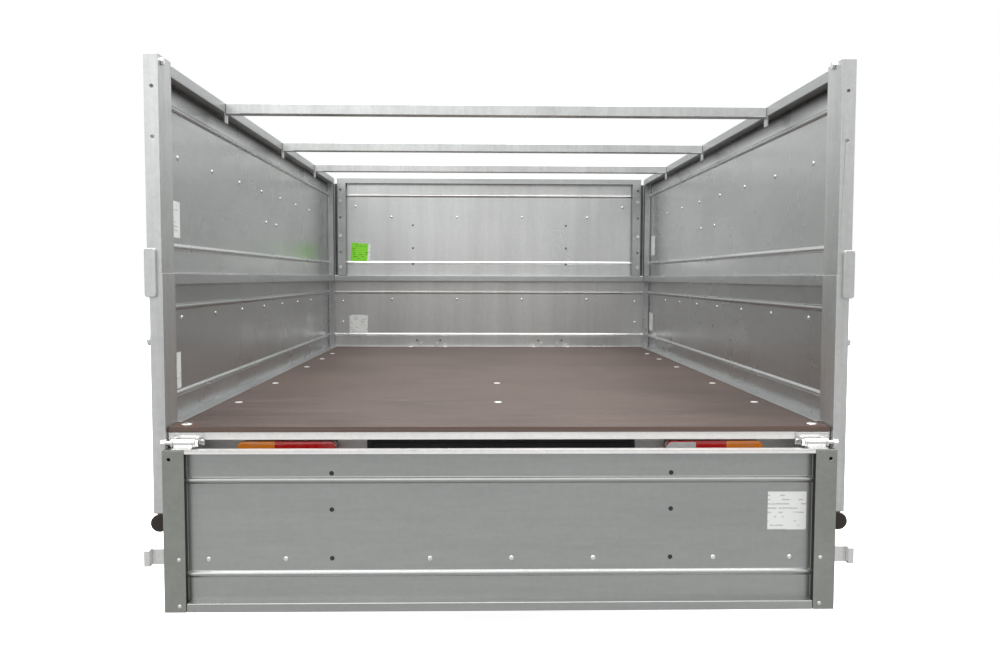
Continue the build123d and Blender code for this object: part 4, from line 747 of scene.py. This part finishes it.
def punch(piece, spots, radius, axis="Z"):
    """Punches round holes through a sheet."""
    if not spots:
        return
    drills = [new_bar("drill", spot, radius, 0.02, axis, 16) for spot in spots]
    drill = weld_together(drills, "drill")
    cut = piece.modifiers.new("holes", "BOOLEAN")
    cut.object = drill
    cut.solver = "EXACT"
    finish_modifiers(piece)
    discard(drill)


def standing(origin, inward):
    """The matrix that stands a sheet up: its z turns to face inwards and its y points up."""
    up = Vector((0, 0, 1))
    ahead = up.cross(Vector(inward))
    turn = Matrix((ahead, up, Vector(inward))).transposed().to_4x4()
    return Matrix.Translation(origin) @ turn


def build_wall(node, origin, inward, length, low, high, ribs, depth, rail, fold_span, foot, material,
               holes=(), skirt=0.0):
    """One wall: ribbed sheet, hollow head rail, foot flange and skirt, as one piece."""
    sheet = new_ribbed_sheet(node + "_sheet", length, low - skirt, high - 0.003, ribs)
    punch(sheet, [(x, y, 0) for x, y in holes], hole_radius)
    sheet.data.materials.append(material)
    start, end = fold_span
    head = new_block("head", (start, high - rail, -0.0005), (end, high, depth))
    soft_edges(head, 0.0014, 3)
    head.data.materials.append(rail_sheet)
    parts = [sheet, head]
    if foot:
        flange = new_block("foot", (start, low, sheet_gauge * 0.5), (end, low + sheet_gauge, foot))
        soft_edges(flange, 0.0005, 1)
        flange.data.materials.append(rail_sheet)
        parts.append(flange)
    if skirt:
        turn_in = new_block("skirt", (start, low - skirt, 0.0005), (end, low - skirt + sheet_gauge, depth))
        soft_edges(turn_in, 0.0005, 1)
        turn_in.data.materials.append(rail_sheet)
        parts.append(turn_in)
    wall = weld_together(parts, node + "_folded")
    wall.data.transform(standing(origin, inward))
    shade_faces(wall, 35)
    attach(wall, body_of[node])
    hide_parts(node)
    return wall


lower_back = -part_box("lower_wall_left")[0][0]
upper_back = -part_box("upper_wall_left")[0][0]
wall_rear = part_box("lower_wall_left")[0][1]
front_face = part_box("lower_wall_left")[1][1]
post_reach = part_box("lower_post_left")[1][1] - wall_rear
corner_back = front_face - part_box("front_corner_posts")[0][1]
wall_length = front_face - wall_rear
lower_tall = seam_height - deck_top
upper_tall = wall_top - seam_height

# Spare holes in the lower side walls, measured forward from the rear edge.
side_reaches = {-1: (0.972, 1.124), 1: (1.002, 1.158)}
side_hole_height = 0.140
for side, inward in ((-1, (1, 0, 0)), (1, (-1, 0, 0))):
    word = "left" if side < 0 else "right"
    y_start = wall_rear if side < 0 else front_face
    folds = (post_reach, wall_length - corner_back) if side < 0 else (corner_back, wall_length - post_reach)
    reaches = side_reaches[side] if side < 0 else [wall_length - reach for reach in side_reaches[side]]
    side_holes = [(reach, side_hole_height) for reach in reaches]
    build_wall(f"lower_wall_{word}", (side * lower_back, y_start, deck_top), inward, wall_length, 0.0,
               lower_tall, low_ribs, lower_back - half_inside, head_rail, folds, foot_reach + sheet_gauge,
               low_side_sheet, side_holes, foot_reach)
    build_wall(f"upper_wall_{word}", (side * upper_back, y_start, seam_height), inward, wall_length, 0.0,
               upper_tall, high_ribs, upper_back - half_inside, head_rail, folds,
               upper_back - half_inside - 0.001, side_sheet)

low_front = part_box("lower_wall_front")
front_depth = front_face - low_front[0][1]
low_half, high_half = low_front[1][0], 0.616
low_front_holes = [(side * (0.250 + step), 0.024) for side in (-1, 1) for step in (-0.048, 0.048)]
high_front_holes = [(side * 0.313, height) for side in (-1, 1) for height in (0.206, 0.113, 0.048)]
low_holes = [(low_half + x, height) for x, height in low_front_holes]
high_holes = [(high_half + x, height) for x, height in high_front_holes]
build_wall("lower_wall_front", (-low_half, front_face, deck_top), (0, -1, 0), 2 * low_half, 0.0, lower_tall,
           low_ribs, front_depth, head_rail, (0.0, 2 * low_half), foot_reach, low_end_sheet, low_holes,
           foot_reach)
build_wall("upper_wall_front", (-high_half, front_face, seam_height), (0, -1, 0), 2 * high_half, 0.0,
           upper_tall, high_ribs, front_depth, head_rail, (0.0, 2 * high_half), front_depth, end_sheet,
           high_holes)

# End posts of the upper front panel: angles with punched holes, bolted to the corners.
post_foot, post_head = seam_height + 0.0015, wall_top - head_rail + 0.001
face_y = front_face - front_depth
post_bolt_line = high_half - 0.012
for side in (-1, 1):
    outer, inner = side * high_half, side * (high_half - 0.034)
    flat = new_block("flat", (min(outer, inner), face_y, post_foot),
                     (max(outer, inner), face_y + 0.002, post_head))
    punch(flat, [(side * post_bolt_line, face_y, seam_height + height) for height in
                 (0.034, 0.095, 0.16, 0.235, 0.30, wall_top - seam_height - 0.048)], 0.0042, "Y")
    web = new_block("web", (min(outer, outer - side * 0.002), face_y, post_foot),
                    (max(outer, outer - side * 0.002), front_face - 0.0016, post_head))
    lip = new_block("lip", (min(inner, inner + side * 0.0015), face_y, post_foot),
                    (max(inner, inner + side * 0.0015), face_y + 0.012, post_head))
    end_post = weld_together([flat, web, lip], "front_panel_post_" + ("left" if side < 0 else "right"))
    soft_edges(end_post, 0.0005, 2)
    fit_out(end_post, rail_sheet, "chassis")

# Corner strips: dark sheets in the gap between the front panel and the corner posts, standing in for the shade
# in that recess: painted shade.
painted_shade_steel = zinc_material("painted_shade_steel", (0.16, 0.165, 0.165), (1.0, 1.0, 1.0), 0.15, 0.50, 0.05, 0.7)
strips = [new_block("strip", (side * (high_half - 0.003), front_face - 0.0017, post_foot),
                    (side * (half_inside + 0.0005), front_face - 0.0002, post_head))
          for side in (-1, 1)]
corner_strips = weld_together(strips, "front_corner_strips")
fit_out(corner_strips, painted_shade_steel, "chassis")

# Dark discs just outside the punched holes stand in for the shade seen through them: painted shade.
shade_disc_radius, shade_disc_proud = 0.0058, 0.0003
shade_disc_spots = [((x, front_face + shade_disc_proud, seam_height + height), "Y") for x, height in high_front_holes]
shade_disc_spots += [((x, front_face + shade_disc_proud, deck_top + height), "Y") for x, height in low_front_holes]
shade_disc_spots += [((side * (lower_back + shade_disc_proud), wall_rear + reach, deck_top + side_hole_height), "X")
               for side, reaches in side_reaches.items() for reach in reaches]
hole_shade_discs = [new_bar("tail", spot, shade_disc_radius, 2 * shade_disc_proud, along, 16) for spot, along in shade_disc_spots]
wall_hole_shade = weld_together(hole_shade_discs, "wall_hole_shade_discs")
fit_out(wall_hole_shade, painted_shade_steel, "chassis")

# Posts, corner posts, bows and joint plates: folded channels.
post_sheet = zinc_material("post_sheet", (0.60, 0.61, 0.60), (5.0, 5.0, 0.4), 0.12, 0.33, 0.06)
for node in ("lower_post_left", "lower_post_right", "upper_post_left", "upper_post_right"):
    dressed_copy(node, 0.0009, post_sheet, 3)
dressed_copy("front_corner_posts", 0.0008, rail_sheet)
dressed_copy("post_joint_plates", 0.0016, post_sheet, 3)
dressed_copy("roof_bows", 0.0015, post_sheet, 3)

# Bow ends: a small folded bracket under each end of a bow, held by one bolt.
bow_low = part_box("roof_bows")[0]
bow_lines = [rear_face + reach for reach in (0.449, 1.071, 1.608)]
brackets = []
for side in (-1, 1):
    for line in bow_lines:
        rest = new_block("rest", (side * (half_inside - 0.034), line - 0.013, bow_low.z - 0.0022),
                         (side * (half_inside + 0.0005), line + 0.013, bow_low.z - 0.0002))
        leg = new_block("leg", (side * (half_inside - 0.0025), line - 0.013, bow_low.z - 0.022),
                        (side * (half_inside + 0.0005), line + 0.013, bow_low.z - 0.0002))
        brackets += [rest, leg]
bow_brackets = weld_together(brackets, "bow_brackets")
soft_edges(bow_brackets, 0.0005, 2)
fit_out(bow_brackets, post_sheet, "chassis")

# ---------------------------------------------------------------------------
# Rope hooks and rivets. A row of small zinc hooks runs round each tier of the walls;
# their rivet heads show inside the box.
# ---------------------------------------------------------------------------
rivet_head = dome_head("rivet_head", 0.0050, 0.0022, 18)
small_head = dome_head("small_head", 0.0036, 0.0015, 16)
hook_plate = new_block("hook_plate", (-0.002, -0.009, -0.022), (0, 0.009, 0.012))
hook_arm = new_block("hook_arm", (-0.014, -0.006, -0.022), (0, 0.006, -0.019))
hook_lip = new_block("hook_lip", (-0.014, -0.006, -0.040), (-0.0115, 0.006, -0.019))
hook_pin = new_bar("hook_pin", (-0.0025, 0, 0), 0.004, 0.003, "X", 16)
rope_hook = weld_together([hook_plate, hook_arm, hook_lip, hook_pin], "rope_hook")
soft_edges(rope_hook, 0.0006, 2)
hook_rows = ((lower_back, deck_top + 0.199), (upper_back, deck_top + 0.522))
face_right = Matrix.Rotation(math.pi / 2, 4, "Y")
face_left = Matrix.Rotation(-math.pi / 2, 4, "Y")
face_rear = Matrix.Rotation(math.pi / 2, 4, "X")
hook_spots, rivet_spots = [], []
for side, first, pitch in ((-1, 0.175, 0.243), (1, 0.205, 0.250)):
    turn = Matrix.Identity(4) if side < 0 else Matrix.Rotation(math.pi, 4, "Z")
    face_in = face_right if side < 0 else face_left
    for back, height in hook_rows:
        for step in range(7):
            line = rear_face + first + step * pitch
            hook_spots.append(Matrix.Translation((side * back, line, height)) @ turn)
            rivet_spots.append(Matrix.Translation((side * (back - sheet_gauge), line, height)) @ face_in)
    for reach in ((0.956, 1.091) if side < 0 else (1.012, 1.178)):
        rivet_spots.append(Matrix.Translation((side * (upper_back - sheet_gauge), rear_face + reach,
                                               deck_top + 0.438)) @ face_in)
sheet_face = front_face - sheet_gauge
front_spots = [(x, 0.528) for x in (-0.400, -0.133, 0.133, 0.400)] + [(-0.545, 0.570), (0.545, 0.570)]
front_spots += [(x, 0.193) for x in (-0.400, -0.133, 0.133, 0.400)]
front_spots += [(side * 0.600, height) for side in (-1, 1) for height in (0.185, 0.100)]
rivet_spots += [Matrix.Translation((x, sheet_face, deck_top + height)) @ face_rear
                for x, height in front_spots]
hooks = spread(rope_hook, hook_spots, "side_rope_hooks")
wall_rivets = spread(rivet_head, rivet_spots, "wall_rivets")
fit_out(hooks, bright_zinc, "chassis", ["rope_hooks"])
fit_out(wall_rivets, bright_zinc, "chassis", ["rope_hooks"])
discard(rope_hook)


def hex_head(name, across, tall):
    """A hexagon head or nut that stands on the ground at the origin."""
    head = new_bar(name, (0, 0, tall / 2), across * 0.577, tall, "Z", 6)
    soft_edges(head, across * 0.05, 2, 20)
    return head


# Bolts that hold the frame together: at the head of each post, at the front corners
# and through the foot of the front wall into the drawbar.
bolt_head = hex_head("bolt_head", 0.013, 0.0052)
bolt_plane = half_inside + 0.0008
post_bolts = ((-1, 0.018, 0.679, face_right), (1, 0.040, 0.686, face_left))
frame_spots = [Matrix.Translation((side * bolt_plane, rear_face + reach, deck_top + height)) @ turn
               for side, reach, height, turn in post_bolts]
frame_spots += [Matrix.Translation((x, front_face - 0.003, deck_top + 0.011)) @ face_rear
                for x in (-0.281, -0.216, 0.216, 0.281)]
frame_spots += [Matrix.Translation((side * post_bolt_line, face_y, seam_height + height)) @ face_rear
                for side in (-1, 1) for height in (0.034, 0.16, 0.30)]
frame_bolts = spread(bolt_head, frame_spots, "frame_bolts")
fit_out(frame_bolts, bright_zinc, "chassis")

# Labels: small square stickers on the walls and the tailgate, with no wording.


def label_material(name, ground, ink, strength):
    """Printed film: a plain ground with a few faint grey bars."""
    material, tree, shader = blank_material(name)
    place = wire(tree, "ShaderNodeTexCoord")
    bars = wire(tree, "ShaderNodeTexWave", {"wave_type": "BANDS", "bands_direction": "Z"},
                Vector=place.outputs["Object"], Scale=38.0, Distortion=0.0)
    breaks = wire(tree, "ShaderNodeTexNoise", Vector=place.outputs["Object"], Scale=70.0, Detail=1.0)
    line = wire(tree, "ShaderNodeMapRange", Value=bars.outputs["Fac"], From_Min=0.72, From_Max=0.8)
    gap = wire(tree, "ShaderNodeMapRange", Value=breaks.outputs["Fac"], From_Min=0.54, From_Max=0.57,
               To_Max=strength)
    both = wire(tree, "ShaderNodeMath", {"operation": "MULTIPLY"})
    tree.links.new(line.outputs["Result"], both.inputs[0])
    tree.links.new(gap.outputs["Result"], both.inputs[1])
    print_mix = wire(tree, "ShaderNodeMixRGB", Fac=both.outputs["Value"], Color1=(*ground, 1),
                     Color2=(*ink, 1))
    tree.links.new(print_mix.outputs["Color"], shader.inputs["Base Color"])
    shader.inputs["Roughness"].default_value = 0.35
    return material


white_label = label_material("white_label", (0.78, 0.79, 0.77), (0.32, 0.33, 0.34), 0.6)
green_label = label_material("green_label", (0.24, 0.72, 0.03), (0.04, 0.16, 0.02), 0.8)
label_film = 0.0004


def stick_label(name, low, high, material, body="chassis", tilt=0.0):
    """One label between two corners, turned a little about its own middle."""
    film = new_block(name, low, high)
    if tilt:
        middle = (Vector(low) + Vector(high)) / 2
        film.data.transform(Matrix.Translation(middle) @ Matrix.Rotation(tilt, 4, "Y")
                            @ Matrix.Translation(-middle))
    return fit_out(film, material, body)


for side, back, reach, height in ((-1, upper_back, (0.109, 0.182), (0.361, 0.434)),
                                  (-1, lower_back, (0.090, 0.163), (0.057, 0.130)),
                                  (1, upper_back, (1.938, 2.013), (0.374, 0.451)),
                                  (1, lower_back, (1.949, 2.022), (0.071, 0.143))):
    face = side * (back - sheet_gauge)
    word = ("left" if side < 0 else "right") + ("_upper" if back == upper_back else "_lower")
    stick_label(f"label_{word}", (face - side * label_film, rear_face + reach[0], deck_top + height[0]),
                (face, rear_face + reach[1], deck_top + height[1]), white_label)
stick_label("label_front_upper", (-0.565, sheet_face - label_film, deck_top + 0.347),
            (-0.487, sheet_face, deck_top + 0.421), green_label, tilt=0.087)
stick_label("label_front_upper_edge", (-0.497, sheet_face - 2 * label_film, deck_top + 0.345),
            (-0.487, sheet_face - label_film, deck_top + 0.418), white_label, tilt=0.087)
stick_label("label_front_lower", (-0.573, sheet_face - label_film, deck_top + 0.055),
            (-0.499, sheet_face, deck_top + 0.129), white_label)

# ---------------------------------------------------------------------------
# Tailgate. A ribbed sheet folded forward along its top and into a hollow rail along
# its bottom, closed at each end by a channel; it hangs from two hinges at the sill.
# ---------------------------------------------------------------------------
gate_sheet = zinc_material("gate_sheet", (0.42, 0.43, 0.42), (0.4, 5.0, 5.0), 0.07, 0.30, 0.10)
gate_steel = zinc_material("gate_steel", (0.33, 0.34, 0.315), (1.0, 1.0, 1.0), 0.10, 0.36, 0.08)
gate_low, gate_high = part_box("tailgate_panel")
gate_tall = gate_high.z - gate_low.z
gate_deep = gate_high.y - gate_low.y
rail_tall = 0.017
channel_wide = 0.040
gate_hole_line = 0.320
gate_hole_drops = (0.047, 0.116, 0.209)
panel = new_ribbed_sheet("gate_panel_sheet", gate_high.x - gate_low.x, -gate_tall, 0.0, (-0.238, -0.060))
gate_middle = -gate_low.x
punch(panel, [(gate_middle + side * gate_hole_line, -drop, 0) for side in (-1, 1) for drop in gate_hole_drops],
      hole_radius)
panel.data.materials.append(gate_sheet)
inner_start, inner_end = channel_wide + 0.0005, 2 * gate_middle - channel_wide - 0.0005
top_fold = new_block("top_fold", (inner_start, -sheet_gauge, 0.0005), (inner_end, 0, gate_deep))
top_lip = new_block("top_lip", (inner_start, -0.007, gate_deep - sheet_gauge), (inner_end, 0, gate_deep))
bottom_rail = new_block("bottom_rail", (inner_start, -gate_tall, 0.0005),
                        (inner_end, -gate_tall + rail_tall, gate_deep))
# The top fold and its lip take the lighter sheet with the painted highlight.
for fold in (top_fold, top_lip):
    soft_edges(fold, 0.0006, 2)
    fold.data.materials.append(painted_highlight_sheet)
soft_edges(bottom_rail, 0.0020, 3)
bottom_rail.data.materials.append(gate_sheet)
gate = weld_together([panel, top_fold, top_lip, bottom_rail], "tailgate_folded")
gate.data.transform(standing((gate_low.x, gate_high.y, gate_high.z), (0, -1, 0)))
shade_faces(gate, 35)
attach(gate, "tailgate")
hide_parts("tailgate_panel")
dressed_copy("tailgate_end_channels", 0.0009, gate_steel, 3)
stick_label("label_tailgate", (0.505, gate_high.y - sheet_gauge - label_film, deck_top - 0.195),
            (0.579, gate_high.y - sheet_gauge, deck_top - 0.122), white_label, "tailgate")

# Black discs just outside the spare holes stand in for the shade seen through them: painted shade.
hole_shade_plastic = moulded_material("hole_shade_plastic", (0.02, 0.02, 0.02), (0.08, 0.075, 0.07), 0.2, 900, 0.0002,
                                0.6)
gate_shade_discs = [new_bar("plug", (side * gate_hole_line, gate_high.y - 0.0004, gate_high.z - drop), shade_disc_radius,
                 2 * shade_disc_proud, "Y", 20)
         for side in (-1, 1) for drop in gate_hole_drops]
gate_hole_shade = weld_together(gate_shade_discs, "gate_hole_shade_discs")
fit_out(gate_hole_shade, hole_shade_plastic, "tailgate")

# Tailgate rivets with their hooks outside, and the bolts of the end channels.
gate_hook_lines = (-0.552, -0.407, -0.136, 0.018, 0.173, 0.402, 0.549)
line, base = gate_high.y, gate_high.z - 0.210
gate_rivets = [Matrix.Translation((x, line - sheet_gauge, base)) @ face_rear for x in gate_hook_lines]
gate_rivet_row = spread(rivet_head, gate_rivets, "gate_rivets")
fit_out(gate_rivet_row, bright_zinc, "tailgate", ["tailgate_bolts"])
gate_hooks = []
for x in gate_hook_lines:
    gate_hooks.append(new_block("plate", (x - 0.009, line, base - 0.012),
                                (x + 0.009, line + 0.002, base + 0.022)))
    gate_hooks.append(new_block("arm", (x - 0.006, line, base + 0.019),
                                (x + 0.006, line + 0.012, base + 0.022)))
gate_hook_row = weld_together(gate_hooks, "gate_hooks")
soft_edges(gate_hook_row, 0.0005, 2)
fit_out(gate_hook_row, bright_zinc, "tailgate", ["tailgate_bolts"])
catch_line = (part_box("tailgate_catches")[0].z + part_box("tailgate_catches")[1].z) / 2
end_bolts = [Matrix.Translation((side * (gate_middle - 0.028), gate_low.y, height)) @ face_rear
             for side in (-1, 1) for height in (gate_low.z + 0.012, catch_line)]
end_bolt_row = spread(small_head, end_bolts, "gate_end_bolts")
fit_out(end_bolt_row, bright_zinc, "tailgate", ["tailgate_bolts"])

# Hinges: knuckle leaves on the tailgate, lug brackets on the sill, each turning on a
# shouldered bolt with a lock nut; catches near the free corners.
for node in ("tailgate_hinge_leaves", "hinge_brackets", "tailgate_catches"):
    dressed_copy(node, 0.0009, bright_zinc, 3)
pin_low, pin_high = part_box("hinge_pins")
pin_y, pin_z = (pin_low.y + pin_high.y) / 2, (pin_low.z + pin_high.z) / 2
pins = []
for side in (-1, 1):
    pins.append(new_bar("pin", (side * 0.602, pin_y, pin_z), 0.004, 0.066, "X", 24))
    head = hex_head("head", 0.0125, 0.0055)
    head.data.transform(Matrix.Translation((side * 0.5713, pin_y, pin_z))
                        @ (face_left if side > 0 else face_right))
    nut = hex_head("nut", 0.0125, 0.0085)
    nut.data.transform(Matrix.Translation((side * 0.6268, pin_y, pin_z))
                       @ (face_right if side > 0 else face_left))
    washer = new_bar("washer", (side * 0.6260, pin_y, pin_z), 0.0078, 0.0014, "X", 28)
    pins += [head, nut, washer]
pin_set = weld_together(pins, "hinge_bolts")
fit_out(pin_set, bright_zinc, body_of["hinge_pins"], ["hinge_pins"])

# Rubber buffers on the posts: the hanging tailgate leans on them.
buffer_rubber = moulded_material("buffer_rubber", (0.022, 0.015, 0.012), (0.06, 0.046, 0.038), 0.4, 500,
                                 0.0003, 0.7)
buffer_radius = 0.0165
buffer_low, buffer_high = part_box("tailgate_buffers")
buffers = []
for side in (-1, 1):
    centre_x = side * (buffer_high.x - buffer_radius)
    centre_z = (buffer_low.z + buffer_high.z) / 2
    pad = new_bar("pad", (centre_x, (buffer_low.y + buffer_high.y) / 2, centre_z), buffer_radius,
                  buffer_high.y - buffer_low.y, "Y", 40)
    soft_edges(pad, 0.0020, 3)
    buffers.append(pad)
buffer_pair = weld_together(buffers, "post_buffers")
fit_out(buffer_pair, buffer_rubber, body_of["tailgate_buffers"],
        ["tailgate_buffers"])

# ---------------------------------------------------------------------------
# Latches. A cranked lever turns on each post and hooks over the catch when the
# tailgate is shut.
# ---------------------------------------------------------------------------
dressed_copy("latch_bases", 0.0010, bright_zinc, 3)
for side in ("left", "right"):
    dressed_copy(f"latch_lever_{side}", 0.0010, bright_zinc, 3)

# ---------------------------------------------------------------------------
# Lamps and number-plate holder, between the side rails under the sill.
# ---------------------------------------------------------------------------
lamp_plastic = moulded_material("lamp_plastic", (0.018, 0.018, 0.019), (0.10, 0.095, 0.09), 0.25, 900, 0.0002,
                                0.45)


def lens_material(name, tone, weight):
    """Moulded lens: coloured clear plastic over fine prisms, with a little road dust."""
    material, tree, shader = blank_material(name)
    place = wire(tree, "ShaderNodeTexCoord")
    prism = wire(tree, "ShaderNodeTexWave", {"wave_type": "BANDS", "bands_direction": "X"},
                 Vector=place.outputs["Object"], Scale=90.0)
    dust = wire(tree, "ShaderNodeTexNoise", Vector=place.outputs["Object"], Scale=30.0, Detail=5.0)
    film = wire(tree, "ShaderNodeMapRange", Value=dust.outputs["Fac"], From_Min=0.5, From_Max=0.8,
                To_Max=0.25)
    tint = wire(tree, "ShaderNodeMixRGB", Fac=film.outputs["Result"], Color1=(*tone, 1),
                Color2=(0.35, 0.32, 0.29, 1))
    bump = wire(tree, "ShaderNodeBump", Height=prism.outputs["Fac"], Strength=0.5, Distance=0.0006)
    tree.links.new(tint.outputs["Color"], shader.inputs["Base Color"])
    tree.links.new(bump.outputs["Normal"], shader.inputs["Normal"])
    shader.inputs["Roughness"].default_value = 0.12
    shader.inputs["Transmission Weight"].default_value = weight
    shader.inputs["Coat Weight"].default_value = 0.6
    return material


red_lens = lens_material("red_lens", (0.55, 0.012, 0.012), 0.25)
amber_lens = lens_material("amber_lens", (0.80, 0.24, 0.02), 0.25)
clear_lens = lens_material("clear_lens", (0.85, 0.86, 0.86), 0.5)
dressed_copy("tail_lamp_housings", 0.0020, lamp_plastic, 3)
lens_pair = dressed_copy("tail_lamp_lenses", 0.0025, red_lens, 3)
lens_pair.data.materials.append(amber_lens)
lens_pair.data.materials.append(clear_lens)
pick_alone(lens_pair)
bpy.ops.object.mode_set(mode="EDIT")
amber_edge, clear_edge, clear_start = 0.431, 0.372, 0.3151
for cut_x in (-amber_edge, clear_edge, amber_edge):
    bpy.ops.mesh.select_all(action="SELECT")
    bpy.ops.mesh.bisect(plane_co=(cut_x, 0, 0), plane_no=(1, 0, 0))
bpy.ops.object.mode_set(mode="OBJECT")
lens_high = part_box("tail_lamp_lenses")[1]
lens_rim = 0.009
for face in lens_pair.data.polygons:
    middle = face.center
    if abs(middle.x) > amber_edge and abs(middle.x) < lens_high.x - 0.001:
        face.material_index = 1
    elif clear_start < middle.x < clear_edge and middle.z < lens_high.z - lens_rim:
        face.material_index = 2
dressed_copy("number_plate_holder", 0.0012, lamp_plastic, 3)

# ---------------------------------------------------------------------------
# Coupling. A pressed head over the nose of the drawbar with a socket for the ball
# and a plastic-covered release handle.
# ---------------------------------------------------------------------------
dressed_copy("coupling_body", 0.0010, bright_zinc, 2)
handle_plastic = moulded_material("handle_plastic", (0.015, 0.015, 0.016), (0.08, 0.075, 0.07), 0.2, 800,
                                  0.0003, 0.4)
dressed_copy("coupling_handle", 0.0012, handle_plastic, 3)

# Jockey wheel: clamp on the left drawbar arm, two sliding tubes, crank, fork, and a
# wheel of solid rubber.
for node in ("jockey_clamp", "jockey_outer_tube", "jockey_inner_tube", "jockey_crank", "jockey_fork"):
    dressed_copy(node, 0.0007, bright_zinc, 2)
crank_low, crank_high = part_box("jockey_crank")
grip = new_bar("crank_grip", ((crank_low.x + crank_high.x) / 2, crank_high.y - 0.012, crank_high.z - 0.033),
               0.0140, 0.062, "Z", 40)
soft_edges(grip, 0.0040, 4)
fit_out(grip, handle_plastic, body_of["jockey_crank"])
dressed_copy("jockey_wheel", 0.0010, tyre_rubber, 2)

for pattern in (rivet_head, small_head, bolt_head):
    discard(pattern)
